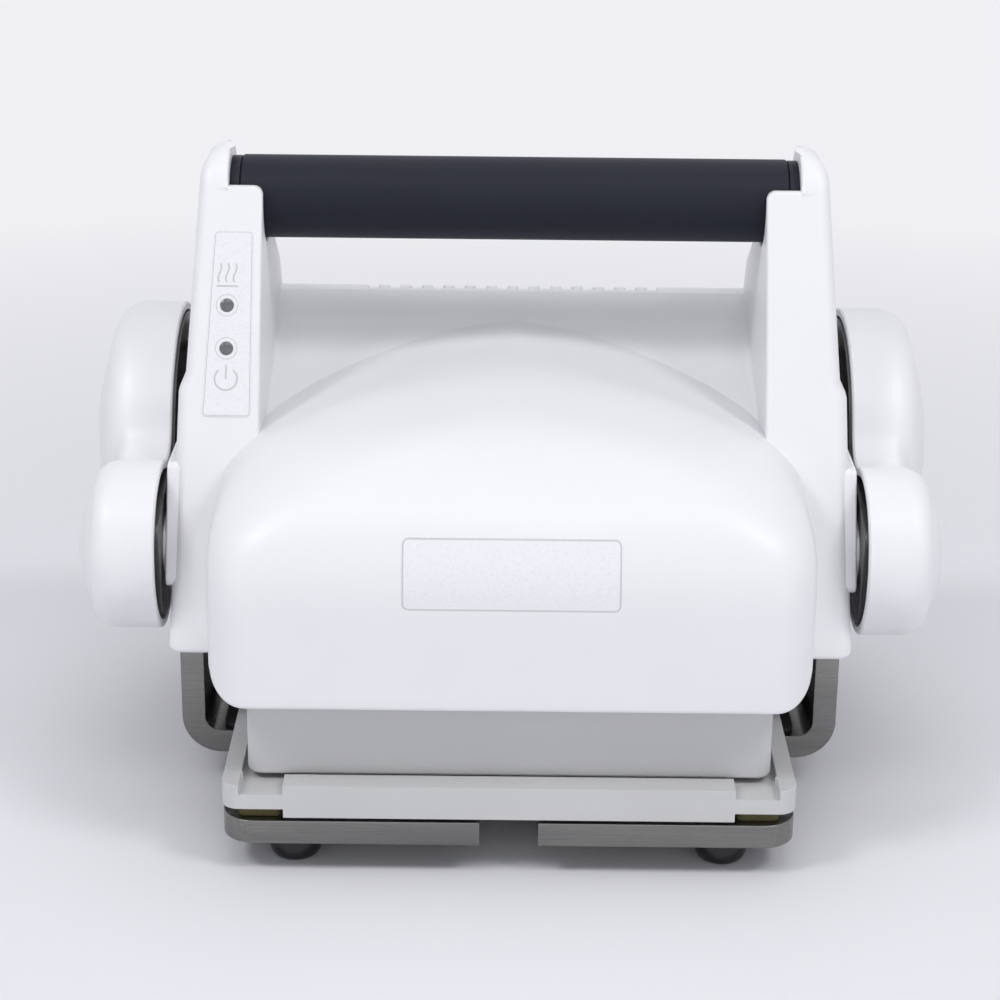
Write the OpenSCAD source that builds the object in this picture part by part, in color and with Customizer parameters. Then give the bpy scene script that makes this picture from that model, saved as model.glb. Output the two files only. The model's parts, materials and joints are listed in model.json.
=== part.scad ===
// Manual heat sealer for microplates: a bent stainless base with two uprights, a shallow plate
// nest, and a lever head that turns about the rear pivots and carries a floating heated platen.
// Every sub-part is drawn with y measured from the front edge of the base, then moved so that
// the origin lies at the centre of the footprint, on the bench.

/* [Base] */
// Depth of the base plate, front to back
base_d = 152; // [148:1:170]
// Thickness of the stainless plate
plate_t = 6; // [4:0.5:7]
// Height of the domed feet
foot_h = 8; // [5:0.5:12]
// Diameter of a foot
foot_dia = 14; // [10:1:18]
// Width of the flat tongue under the nest
tongue_w = 138; // [132:1:144]
// Corner radius of the tongue
tongue_r = 8; // [3:0.5:12]
// Width of the slot in the front edge
slot_w = 14; // [8:1:20]
// Depth of the slot in the front edge
slot_d = 26; // [14:1:34]
// Distance from the side of the head's housing to the outside of an upright
leg_over = 12.6; // [11.6:0.1:14]
// Outside radius of the bend from plate to upright
bend_r = 10; // [8:0.5:12]
// Height of the straight front edge of an upright
leg_front_z = 41; // [34:1:44]
// Radius of the round top of an upright
leg_top_r = 30; // [24:1:30]

/* [Plate nest] */
// Inside width of the nest, for a standard microplate footprint
nest_w = 129.2; // [128.6:0.1:130]
// Inside depth of the nest
nest_d = 86.9; // [86.4:0.1:88]
// Width of the rim along the sides
rim_w = 4.2; // [3:0.1:5]
// Depth of the front and back lips
lip_d = 6.7; // [6:0.1:8]
// Length of the open corners beside the front and back lips
corner_open = 10.6; // [9:0.1:16]
// Height of the rim above the nest floor
rim_h = 2.35; // [1.8:0.05:3]
// Thickness of the nest floor
floor_t = 3.75; // [3:0.05:4.5]
// Thickness of the soft pads under the nest
pad_t = 3.1; // [2:0.1:4]
// Thickness of the black mat between the uprights
mat_t = 1.2; // [0.8:0.1:1.6]

/* [Pivots] */
// Height of the rear pivots above the plate
pivot_rise = 63.6; // [60:0.2:66]
// Distance of the rear pivots behind the nest centre
pivot_back = 52.85; // [50:0.05:55]
// Height of the platen pins below the rear pivots
pin_drop = 12.1; // [10:0.1:14]
// Radius of the rear pivot journal
journal_r = 6; // [5:0.1:7]
// Radius of a platen pin
pin_r = 5; // [4:0.1:6]
// Radial clearance of every running fit
run_gap = 0.05; // [0.02:0.01:0.08]

/* [Side links] */
// Thickness of a link plate
link_t = 5; // [4:0.1:6]
// Gap between an upright and its link plate
link_gap = 2.2; // [2:0.1:3]
// Radius of the rear end of a link plate
link_big_r = 32.4; // [30:0.1:32.6]
// Width of the front end of a link plate
link_nose_w = 26.5; // [24:0.5:30]
// Outside radius of the rear round of a side cover
cover_big_r = 35; // [34.8:0.1:37]
// Outside radius of the front round of a side cover
cover_small_r = 21; // [20:0.1:23]
// Height of the rear round of a side cover
cover_h = 22.2; // [19:0.1:25]
// How far the front round stands behind the rear one, each side
cover_step = 2.3; // [1:0.1:4]
// Wall of a side cover
cover_wall = 2.2; // [1.6:0.1:2.4]

/* [Head shell] */
// Wall of the white head mouldings
shell_wall = 2.5; // [2:0.1:3]
// How far the housing stands out past the nest, each side
housing_side = 6.9; // [6.4:0.1:7.6]
// Height of the lower edge of the housing
housing_z = 43; // [42:0.5:46]
// Height at which the front face starts to curve back
curve_z = 66; // [60:1:72]
// Height of the ridge of the housing
ridge_z = 106; // [103:0.5:108]
// Depth over which the front curves back to the ridge
curve_d = 70; // [60:1:80]
// Height at which the housing sides start to curve inwards
spring_z = 75; // [72:1:80]
// Height of the lower end of the arms
arm_z = 45.5; // [45:0.5:48]
// Distance of the arms' front face behind the housing front, at their lower end
arm_d = 31.5; // [30:0.5:34]
// Lean of the arms' front face, in degrees from vertical
arm_lean = 23.4; // [22.8:0.1:23.6]
// Width of an arm at its lower end
arm_w = 21.6; // [20.6:0.1:22.2]
// Radius of the rounded back of the head about the rear pivots
barrel_r = 41; // [40.4:0.1:42]
// Number of vent slots along the crest
vent_count = 14; // [8:1:16]
// Spacing of the vent slots
vent_pitch = 5.8; // [4.5:0.1:6.2]
// Width of a vent slot
vent_w = 2.8; // [1.5:0.1:3.4]

/* [Handle] */
// Diameter of the grip
grip_dia = 21; // [18:0.5:22]
// Height of the grip's axis above the rear pivots
grip_rise = 68.2; // [66:0.2:72]
// Distance of the grip's axis in front of the rear pivots
grip_front = 14; // [12:0.5:16]
// Thickness of an ear beside the handle
ear_t = 7.4; // [6:0.1:9]
// Radius of the ears round the grip's axis
ear_r = 14; // [13.6:0.1:15]
// Height of the front shelf above the grip's axis
shelf_rise = 5; // [2:0.5:7]

/* [Platen] */
// Gap between the heater guard and the nest walls, at the sides
guard_side_gap = 1.3; // [1:0.1:2]
// Gap between the heater guard and the nest lips, front and back
guard_end_gap = 1.6; // [1.5:0.1:2.2]
// Gap between the heater guard and the nest floor
guard_floor_gap = 1.55; // [1.4:0.05:2]
// Height of the heater guard
guard_h = 27; // [24:1:29]
// Wall of the heater guard
guard_wall = 2; // [1.6:0.1:2.4]
// Thickness of the heated platen
platen_t = 12; // [10:0.5:13]

/* [Hidden] */
$fn = 48;
steel = [0.72, 0.72, 0.70];
white = [0.95, 0.95, 0.97];
grey = [0.76, 0.76, 0.78];
black = [0.08, 0.08, 0.09];

eps = 0.05;                     // a cut passes a face by this much
face_gap = 0.02;                // clearance of a pin that is pressed or screwed in
soft_gap = 0.3;                 // clearance between neighbours that don't touch

// Places along the depth, from the front edge of the base
nest_y = lip_d + nest_d / 2;    // centre line of the nest, and of the platen pins
pivot_y = nest_y + pivot_back;
grip_y = pivot_y - grip_front;
carrier_d = nest_d + 2 * lip_d;

// Heights above the bench
plate_z = foot_h + plate_t;     // top of the base plate
pivot_z = plate_z + pivot_rise;
pin_z = pivot_z - pin_drop;
grip_z = pivot_z + grip_rise;
shelf_z = grip_z + shelf_rise;
carrier_z = plate_z + pad_t;
floor_z = carrier_z + floor_t;
rim_z = floor_z + rim_h;
guard_z = floor_z + guard_floor_gap;

// Places along the width, for the right side
housing_w = nest_w + 2 * housing_side;
leg_x = housing_w / 2 + leg_over;
leg_in_x = leg_x - plate_t;
link_x = leg_x + link_gap;
link_out_x = link_x + link_t;
cover_x = link_x + 1.7;         // open edge of the side cover, over the link plate's rim
cover_top_x = cover_x + cover_h;
arm_proud = 0.4;                // the foot of an arm stands this far out past the upright
arm_in_x = leg_x + arm_proud - arm_w;
// Outside of an arm at a height: it draws in, with a small step
arm_step_z = pivot_z + 25.4;
arm_step_h = 4;
function arm_out(z) = let (up = z - arm_step_z)
    up < 0 ? leg_x + arm_proud - 1.2 * (z - arm_z) / (arm_step_z - arm_z)
    : up < arm_step_h ? leg_x - 0.8 - 1.7 * up / arm_step_h
    : leg_x - 2.5 - 3 * (up - arm_step_h) / 50;
ear_x = arm_out(shelf_z) - ear_t;
lip_w = nest_w - 2 * corner_open;
body_x = leg_in_x - 1.1;        // side wall of the head, between the uprights

grip_r = grip_dia / 2;
guard_w = nest_w - 2 * guard_side_gap;
guard_d = nest_d - 2 * guard_end_gap;
link_tilt = atan(pin_drop / pivot_back);

module at_origin() translate([0, -base_d / 2, 0]) children();
module both_sides() { children(); mirror([1, 0, 0]) children(); }
// A profile drawn in (y, z), made solid between two places along the width
module across(x0, x1) translate([x0, 0, 0]) rotate([90, 0, 90]) linear_extrude(x1 - x0) children();
// A rod along the width
module rod(r, x0, x1, y, z) translate([x0, y, z]) rotate([0, 90, 0]) cylinder(r = r, h = x1 - x0);
// A flat shape seen from the front, made solid from y0 backwards
module backwards(y0, depth) translate([0, y0 + depth, 0]) rotate([90, 0, 0]) linear_extrude(depth) children();
// A rectangle with round corners, about its centre
module round_rect(w, d, r) {
    square([w - 2 * r, d], center = true);
    square([w, d - 2 * r], center = true);
    for (sx = [-1, 1], sy = [-1, 1]) translate([sx * (w / 2 - r), sy * (d / 2 - r)]) circle(r);
}
module round_plate(w, d, h, r) linear_extrude(h) round_rect(w, d, r);

// Direction of the tangent from a point to the front of a circle, in degrees
function tangent_angle(p, c, r) =
    atan2(c[1] - p[1], c[0] - p[0]) + asin(r / norm([c[0] - p[0], c[1] - p[1]]));
leg_corner = [nest_y, leg_front_z];
leg_angle = tangent_angle(leg_corner, [pivot_y, pivot_z], leg_top_r);
leg_back_y = pivot_y + leg_top_r;
// Front edge of an upright at a height, and of the same edge moved forwards by a gap
function leg_front(z, gap) = leg_corner[0] + (z - leg_front_z) / tan(leg_angle) - gap / sin(leg_angle);

// Side outline of an upright
module leg_outline(gap) {
    translate([pivot_y, pivot_z]) circle(leg_top_r + gap);
    polygon([[leg_corner[0] - gap, foot_h], [leg_corner[0] - gap, leg_front_z],
        [pivot_y, pivot_z] + (leg_top_r + gap) * [cos(leg_angle + 90), sin(leg_angle + 90)],
        [pivot_y, pivot_z], [leg_back_y + gap, pivot_z], [leg_back_y + gap, foot_h]]);
}
// Front outline of the space inside a bent channel
module channel(w, z0, r) {
    translate([-w, z0 + r]) square([2 * w, 200]);
    translate([-(w - r), z0]) square([2 * (w - r), r + eps]);
    for (s = [-1, 1]) translate([s * (w - r), z0 + r]) circle(r);
}
module base_frame() color(steel) at_origin() difference() {
    union() {
        translate([0, base_d / 2, foot_h]) round_plate(tongue_w, base_d, plate_t, tongue_r);
        intersection() {
            backwards(leg_corner[0], leg_back_y - leg_corner[0]) difference() {
                channel(leg_x, foot_h, bend_r);
                channel(leg_in_x, plate_z, bend_r - plate_t);
            }
            across(-leg_x - 1, leg_x + 1) leg_outline(0);
        }
    }
    translate([0, 0, foot_h - eps]) linear_extrude(plate_t + 2 * eps) {
        translate([-slot_w / 2, -eps]) square([slot_w, slot_d - slot_w / 2]);
        translate([0, slot_d - slot_w / 2]) circle(slot_w / 2);
    }
    both_sides() rod(journal_r - 1 + face_gap, leg_in_x - 1, leg_x + 1, pivot_y, pivot_z);
    carrier_screw_places() translate([0, 0, plate_z - 4.5]) cylinder(r = 1.6 + face_gap, h = 5);
}

foot_x = tongue_w / 2 - 17;
foot_end = 11.5;
module feet() color([0.2, 0.2, 0.22]) at_origin()
    for (sx = [-1, 1], y = [foot_end, base_d - foot_end]) translate([sx * foot_x, y, 0])
        rotate_extrude() polygon(concat([[0, 0]],
            [for (i = [0:8]) let (a = 90 * i / 8)
                [4.5 + (foot_dia / 2 - 4.5) * sin(a), (foot_h - 1.5) * (1 - cos(a))]],
            [[foot_dia / 2, foot_h], [0, foot_h]]));

carrier_w = nest_w + 2 * rim_w;
carrier_r = rim_w;
pad_w = 10.4;
pad_d = 9;
module carrier_screw_places() for (sx = [-1, 1], sy = [-1, 1])
    translate([sx * (nest_w / 2 - 24.6), nest_y + sy * (nest_d / 2 - 13.45), 0]) children();
carrier_pad_x = lip_w / 2 + 2 * soft_gap + pad_w / 2;
carrier_pad_y = carrier_d / 2 - pad_d / 2 - 2.5;
module carrier_pad_places() for (sx = [-1, 1], sy = [-1, 1])
    translate([sx * carrier_pad_x, nest_y + sy * carrier_pad_y, 0]) children();

module plate_carrier() color(grey) at_origin() difference() {
    union() {
        translate([0, carrier_d / 2, carrier_z])
            round_plate(carrier_w, carrier_d, rim_z - carrier_z, carrier_r);
        // Skirt below the front lip
        translate([-lip_w / 2, 0, carrier_z - 2.2]) cube([lip_w, lip_d, 2.2 + eps]);
    }
    // Nest for the plate
    translate([0, nest_y, floor_z]) round_plate(nest_w, nest_d, rim_h + 1, 2.5);
    // Open corners, where a plate's skirt can be gripped
    for (sx = [-1, 1], y = [0, carrier_d]) translate([sx * (lip_w + corner_open) / 2, y, floor_z])
        linear_extrude(rim_h + 1) square([corner_open, 2 * lip_d + 2], center = true);
    // Hollows under the floor that save material
    for (x = [-40, 0, 40]) translate([x, nest_y, carrier_z - 1]) round_plate(30, 36, 2.6, 3);
    carrier_screw_places() {
        translate([0, 0, carrier_z - 1]) cylinder(r = 1.8, h = floor_t + 2);
        translate([0, 0, floor_z - 1.7]) cylinder(r1 = 1.8, r2 = 3.5, h = 1.7 + eps);
    }
}
module carrier_pads() color([0.45, 0.44, 0.26]) at_origin() carrier_pad_places()
    translate([0, 0, plate_z]) round_plate(pad_w, pad_d, pad_t, 1.5);
module carrier_screws() color(steel) at_origin() carrier_screw_places() difference() {
    union() {
        translate([0, 0, plate_z - 4.4]) cylinder(r = 1.6, h = floor_z - 0.2 - plate_z + 4.4);
        translate([0, 0, floor_z - 1.75]) cylinder(r1 = 1.65, r2 = 2.95, h = 1.55);
    }
    translate([0, 0, floor_z - 1.2]) cylinder(r = 1, h = 2, $fn = 6);
}
module base_mat() color(black) at_origin() difference() {
    translate([0, (leg_corner[0] + leg_back_y) / 2 + 1, plate_z])
        round_plate(2 * (leg_x - bend_r) - 1, leg_back_y - leg_corner[0] - 2, mat_t, 3);
    carrier_pad_places() translate([0, 0, plate_z - 1]) round_plate(pad_w + 1.6, pad_d + 1, mat_t + 2, 2);
    carrier_screw_places() translate([0, 0, plate_z - 1]) cylinder(r = 2.4, h = mat_t + 2);
}

// Rear pivot: a stud pressed into the upright, with a collar, a journal and a threaded end
disc_t = 1.4;
nut_t = 5;
nut_x = link_out_x + 2 * disc_t + 0.2;
stud_end_x = nut_x + nut_t + 3.9;
module pivot_studs() color(steel) at_origin() both_sides() {
    rod(journal_r - 1, leg_in_x, leg_x + eps, pivot_y, pivot_z);
    rod(journal_r + 4, leg_x, link_x - 0.1, pivot_y, pivot_z);
    rod(journal_r, link_x - 0.2, link_out_x + 0.1, pivot_y, pivot_z);
    rod(journal_r - 2, link_out_x, stud_end_x, pivot_y, pivot_z);
}
module friction_discs() color([0.35, 0.25, 0.18]) at_origin() both_sides() for (i = [0:1])
    let (x = link_out_x + 0.12 + i * (disc_t + 0.02)) difference() {
        rod(14 - 2 * i, x, x + disc_t, pivot_y, pivot_z);
        rod(journal_r - 2 + face_gap, link_out_x - 1, stud_end_x, pivot_y, pivot_z);
    }
module pivot_nuts() color(steel) at_origin() both_sides() difference() {
    union() {
        translate([nut_x, pivot_y, pivot_z]) rotate([0, 90, 0]) cylinder(r = 7.5, h = nut_t, $fn = 6);
        rod(5.8, nut_x + nut_t - 0.2, nut_x + nut_t + 1.2, pivot_y, pivot_z);
    }
    rod(journal_r - 2 + face_gap, link_out_x, stud_end_x + 1, pivot_y, pivot_z);
}

// Link plate: a round rear end on the pivot and a square nose at the platen pin
link_nose_l = 14;
link_nose_r = 3;
module link_outline() {
    translate([pivot_y, pivot_z]) circle(link_big_r);
    translate([nest_y, pin_z]) rotate(link_tilt) {
        translate([link_nose_r - link_nose_l, -link_nose_w / 2]) square([44, link_nose_w]);
        translate([-link_nose_l, link_nose_r - link_nose_w / 2]) square([10, link_nose_w - 2 * link_nose_r]);
        for (s = [-1, 1]) translate([link_nose_r - link_nose_l, s * (link_nose_w / 2 - link_nose_r)])
            circle(link_nose_r);
    }
}
bush_r = journal_r + 3;
module link_plate() difference() {
    across(link_x, link_out_x) link_outline();
    rod(bush_r + face_gap, link_x - 1, link_out_x + 1, pivot_y, pivot_z);
    rod(pin_r + face_gap, link_x - 1, link_out_x + 1, nest_y, pin_z);
    cover_screw_places() rod(1.5 + face_gap, link_x - 1, link_out_x + 1, 0, 0);
}
// Screws that hold a side cover to its link plate
module cover_screw_places() for (a = [70, 250])
    translate([0, pivot_y + 24 * cos(a), pivot_z + 24 * sin(a)]) children();
module left_link_plate() color(steel) at_origin() mirror([1, 0, 0]) link_plate();
module right_link_plate() color(steel) at_origin() link_plate();
module pivot_bushes() color([0.62, 0.5, 0.25]) at_origin() both_sides() difference() {
    rod(bush_r, link_x, link_out_x, pivot_y, pivot_z);
    rod(journal_r + run_gap, link_x - 1, link_out_x + 1, pivot_y, pivot_z);
}

// Side cover: two rounds of different size in one moulding, each a drum with a round shoulder,
// a fine step and a shallow dome. The straight wall, the ring of the step and the dome of each
big_wall_h = 9;
big_ring_r = cover_big_r - 8;
big_dome_h = 5;
small_wall_h = 9.5;
small_ring_r = cover_small_r - 4.3;
small_dome_h = 4.6;
waist_h = big_wall_h;
screw_boss_r = 3.6;
function drum_profile(r, top, wall_top, ring_r, dome_h, inset) = concat(
    [[0, 0], [r - inset, 0]],
    [for (i = [0:6]) let (a = 15 * i, ry = top - dome_h - wall_top)
        [ring_r + (r - ring_r) * cos(a) - inset * cos(a), wall_top + ry * sin(a) - inset * sin(a)]],
    [for (i = [1:7]) let (t = i / 7)
        [ring_r * (1 - t), top - inset - (inset > 0 ? 0.3 : 0) - dome_h * pow(1 - t, 2)]]);
module drum(r, h, wall_h, ring_r, dome_h, inset) rotate([0, 90, 0]) rotate_extrude(convexity = 4)
    polygon(drum_profile(r, h, wall_h, ring_r, dome_h, inset));
module both_drums(inset) {
    translate([0, pivot_y, pivot_z]) drum(cover_big_r, cover_h, big_wall_h, big_ring_r, big_dome_h, inset);
    translate([0, nest_y, pin_z])
        drum(cover_small_r, cover_h - cover_step, small_wall_h, small_ring_r, small_dome_h, inset);
}
// Outline of the waist that joins the two rounds over the link plate
module cover_waist(inset) translate([nest_y, pin_z]) rotate(link_tilt)
    translate([4, -link_nose_w / 2 - 2.6 + inset]) square([36, link_nose_w + 5.2 - 2 * inset]);
module side_cover() difference() {
    union() {
        translate([cover_x, 0, 0]) both_drums(0);
        across(cover_x, cover_x + waist_h) cover_waist(0);
    }
    difference() {
        union() {
            translate([cover_x - eps, 0, 0]) both_drums(cover_wall);
            across(cover_x - 1, cover_x + waist_h - cover_wall) cover_waist(cover_wall);
        }
        // Bosses for the two screws
        cover_screw_places() rod(screw_boss_r, link_out_x + eps, cover_top_x - 3, 0, 0);
    }
    cover_screw_places() rod(1.5 + face_gap, cover_x, link_out_x + 8, 0, 0);
    // Room for the nose of the link plate
    across(link_x - 1, link_out_x + face_gap) offset(delta = 0.25) link_outline();
}
module left_side_cover() color(white) at_origin() mirror([1, 0, 0]) side_cover();
module right_side_cover() color(white) at_origin() side_cover();
module side_cover_screws() color(steel) at_origin() both_sides() cover_screw_places() {
    rod(1.5, link_x - 0.4, link_out_x + 7.5, 0, 0);
    rod(2.7, link_x - 1.9, link_x - 0.02, 0, 0);
}

// Head shell. Horizontal slices of the front housing: a round-cornered outline whose front and
// sides draw in with height along two superellipses
function draw_in(t, n) = t <= 0 ? 0 : 1 - pow(1 - pow(min(t, 1), n), 1 / n);
function housing_front(z) = curve_d * draw_in((z - curve_z) / (ridge_z - curve_z), 2.5);
function housing_half(z) = housing_w / 2 * (1 - draw_in((z - spring_z) / (ridge_z - spring_z), 2.5));
function housing_corner(z, half) =
    min(half * 0.98, 10 + 28 * pow(max(z - curve_z, 0) / (ridge_z - curve_z), 2));
flare = 2;                      // the housing is this much wider behind, each side
crease_y = pivot_y + 9;         // foot of the step up to the vented crest
crease_z = ridge_z + 1.4;
housing_rows = 20;
corner_steps = 8;
function housing_heights(z0, z1) =
    concat([z0, curve_z], [for (i = [1:housing_rows]) curve_z + (z1 - curve_z) * sin(90 * i / housing_rows)]);
function housing_row(z, inset) =
    let (zr = min(z + (z > curve_z ? inset * (z - curve_z) / (ridge_z - curve_z) : 0), ridge_z - 0.02),
        half = max(housing_half(zr) - inset, 0.5), front = housing_front(zr) + inset,
        r = max(min(housing_corner(zr, half) - inset, half * 0.98), 0.4))
    concat([[-half - flare, crease_y - inset, z]],
        [for (i = [0:corner_steps]) let (a = 180 + 90 * i / corner_steps)
            flared([-half + r + r * cos(a), front + r + r * sin(a), z])],
        [for (i = [0:corner_steps]) let (a = 270 + 90 * i / corner_steps)
            flared([half - r + r * cos(a), front + r + r * sin(a), z])],
        [[half + flare, crease_y - inset, z]]);
function flared(p) = [p[0] + sign(p[0]) * flare * min(max(p[1], 0) / 60, 1), p[1], p[2]];
// A solid between a stack of outlines that have the same number of points
module stack(rows) {
    n = len(rows[0]);
    m = len(rows);
    polyhedron(convexity = 6, points = [for (row = rows) for (p = row) p],
        faces = concat([[for (i = [0:n - 1]) i]], [[for (i = [n - 1:-1:0]) (m - 1) * n + i]],
            [for (j = [0:m - 2], i = [0:n - 1]) let (k = (i + 1) % n, a = j * n)
                each [[a + i, a + n + i, a + k], [a + k, a + n + i, a + n + k]]]));
}
module housing(inset)
    stack([for (z = housing_heights(housing_z - 2 * inset, ridge_z - face_gap - inset))
        housing_row(z, inset)]);

// Arms: the front face leans back, the outside draws in with height and has a small step, and
// the back keeps clear of the upright
function arm_front(z) = arm_d + (z - arm_z) * tan(arm_lean);
leg_clear = 2;
over_r = leg_top_r + leg_clear;
over_z = pivot_z + over_r;      // above this the arm reaches back over the upright
waist_z = grip_z - 15.8;        // below this the arm's back spreads out to the crest
arm_top_z = grip_z + 6.2;
function arm_back(z, inset) =
    z - pivot_z < over_r * sin(leg_angle + 90) ? leg_front(z, leg_clear)
    : z < over_z + inset ? pivot_y - sqrt(max(pow(over_r, 2) - pow(z - pivot_z, 2), 0))
    : z < waist_z ? grip_y + 19 + (waist_z - z) * 0.86
    : grip_y + 14 + (grip_z - z) * 0.3165;
function spread(z0, z1, n) = [for (i = [0:n - 1]) z0 + (z1 - z0) * i / n];
function arm_heights(inset) = concat(spread(arm_z + inset, arm_step_z, 9),
    [arm_step_z, arm_step_z + arm_step_h, over_z - 0.3, over_z + inset - 0.1, over_z + inset + 0.1],
    spread(over_z + inset + 1.5, waist_z, 3), spread(waist_z, arm_top_z, 4), [arm_top_z]);
function arm_row(z, inset) =
    let (x0 = arm_in_x + inset, x1 = arm_out(z) - inset, y0 = arm_front(z) + inset / cos(arm_lean),
        y1 = max(arm_back(z, inset) - inset, y0 + 1), r = max(3.2 - inset, 0.5))
    concat([[x0, y1, z], [x0, y0 + r * 0.6, z], [x0 + r * 0.2, y0 + r * 0.2, z], [x0 + r * 0.6, y0, z]],
        [for (i = [0:4]) let (a = -90 + 90 * i / 4) [x1 - r + r * cos(a), y0 + r + r * sin(a), z]],
        [[x1, y1, z]]);
module arm(inset) stack([for (z = arm_heights(inset)) arm_row(z, inset)]);
// Ear: a round-cornered lug that closes the end of the handle
ear_round = 7.5;
module ear(inset) intersection() {
    across(ear_x + face_gap + inset, arm_out(shelf_z) - inset) {
        translate([grip_y, grip_z]) circle(ear_r - inset);
        polygon([[arm_front(waist_z) + inset + 0.6, waist_z - 2], [arm_front(grip_z) + inset + 0.6, grip_z],
            [grip_y + ear_r - inset, grip_z], [arm_back(waist_z + 1, 0) - inset, waist_z - 2]]);
    }
    backwards(0, base_d) {
        translate([0, -50]) square([arm_out(shelf_z) - inset, grip_z + ear_r - ear_round + 50 - inset]);
        translate([0, grip_z]) square([arm_out(shelf_z) - ear_round, ear_r - inset]);
        translate([arm_out(shelf_z) - ear_round, grip_z + ear_r - ear_round]) circle(ear_round - inset);
    }
}
// Middle of the head between the uprights: roof, step, crest and round back
function barrel_point(a, r) = [pivot_y + r * cos(a), pivot_z + r * sin(a)];
rear_face_y = pivot_y + barrel_r - 2;   // flat for the inlet and the switch
roof_slope = 0.37;
// Height at which the sloping roof meets the front line of the arms
roof_z = (crease_y - crease_z / roof_slope - arm_d + arm_z * tan(arm_lean))
    / (tan(arm_lean) - 1 / roof_slope);
crest_angle = 62;               // the crest runs into the round back here, about the pivots
crest_run = 6.5;
crest_z = crease_z + 5.6;
body_back = 0.7;                // the body's front lies this far behind the arms'
module body_outline(inset) intersection() {
    offset(delta = -inset) polygon(concat(
        [[arm_front(arm_z + 0.5) + body_back, arm_z + 0.5], [arm_front(roof_z) + body_back, roof_z],
            [crease_y, crease_z], [seam_y, crest_z]],
        [for (i = [0:18]) barrel_point(crest_angle - i * (crest_angle + 44) / 18, barrel_r)],
        [[pivot_y - 8, pivot_z - 31.6]]));
    // Flat at the back for the inlet and the switch
    square([rear_face_y - inset, 200]);
}
module body(inset) across(-body_x + inset, body_x - inset) body_outline(inset);
// Recess for the grip, with its own wall left inside
module grip_recess(inset) across(-ear_x - inset, ear_x + inset) {
    translate([grip_y, grip_z]) circle(grip_r + 0.8 + inset);
    polygon([[grip_y + 7.9, grip_z - 8.2 - inset], [grip_y + 34, grip_z - 26 - inset],
        [grip_y + 60, grip_z - 26], [grip_y + 60, grip_z + 40], [0, grip_z + 40],
        [0, shelf_z - inset], [grip_y, shelf_z - inset]]);
}
module head_form(inset) {
    housing(inset);
    body(inset);
    both_sides() {
        difference() { arm(inset); grip_recess(inset); }
        ear(inset);
    }
}
// Pad that takes the platen pin: its front runs along the arm's front, its underside is flat
pad_back = 0.7;
pad_low_z = pin_z - pin_r - 1.2;
pad_high_z = pin_z + 22.4;
pad_end_y = nest_y + 20.5;
pad_corner = 2;
pad_t_out = 3;
pad_x = link_x - 0.7;
module pad_outline() offset(pad_corner) offset(delta = -pad_corner) polygon([
    [arm_front(pad_low_z) + pad_back, pad_low_z], [arm_front(pad_high_z) + pad_back, pad_high_z],
    [pad_end_y, pad_high_z], [pad_end_y, pad_low_z]]);
module pin_pad() difference() {
    across(pad_x - pad_t_out, pad_x) pad_outline();
    across(leg_x - 5, leg_x + 0.35) leg_outline(leg_clear);
}
washer_r = pin_r + 3.4;
module pin_washers() color([0.62, 0.62, 0.63]) at_origin() both_sides() difference() {
    rod(washer_r, pad_x + face_gap, link_x - face_gap, nest_y, pin_z);
    rod(pin_r + face_gap, pad_x - 1, link_x + 1, nest_y, pin_z);
}
seam_y = crease_y + crest_run;
module behind_seam(gap) translate([-100, seam_y + gap, 0]) cube([200, 100, 200]);
vent_y = crease_y + 9;
module vents() for (i = [0:vent_count - 1])
    translate([(i - (vent_count - 1) / 2) * vent_pitch - vent_w / 2, vent_y - 3, crease_z + 2])
        cube([vent_w, 9, 14]);
rear_strip_half = body_x - shell_wall - 0.1;
strip_room = rear_strip_half + 0.1;
lower_corner_r = 8;
module head_cover() color(white) at_origin() difference() {
    union() {
        difference() { head_form(0); head_form(shell_wall); }
        both_sides() pin_pad();
    }
    // Open underside and open back
    translate([-body_x + shell_wall, 0, 0]) cube([2 * (body_x - shell_wall), pivot_y - 8, housing_z + 6]);
    intersection() {
        behind_seam(0);
        translate([-strip_room, 0, 0]) cube([2 * strip_room, 300, 300]);
    }
    translate([-strip_room, pivot_y - 12, arm_z - 5.5])
        cube([2 * strip_room, 80, rear_floor_z + 5 - (arm_z - 5.5)]);
    // Round lower corners of the housing, seen from the front
    both_sides() backwards(-1, arm_d) difference() {
        translate([housing_w / 2 - lower_corner_r, 0]) square([20, housing_z + lower_corner_r]);
        translate([housing_w / 2 - lower_corner_r, housing_z + lower_corner_r]) circle(lower_corner_r);
    }
    both_sides() {
        rod(pin_r + 0.1, arm_in_x + 5, pad_x + 1, nest_y, pin_z);
        rod(spacer_r + soft_gap, lug_x, spacer_end_x + soft_gap, nest_y, pin_z);
        rod(3, ear_x - 1, ear_x + shell_wall + 1, grip_y, grip_z);
        rear_screw_places() rod(1.5 + face_gap, rear_strip_half - 1, body_x + 1, 0, 0);
    }
    lens_places() translate([0, 0, -6]) cylinder(r = lens_r + 0.08, h = 8);
    front_slice(-2, nameplate_t, 0.15);
}

lens_r = 1.75;
label_x = 12.8 - leg_x;
label_z = grip_z - 26.6;
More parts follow.
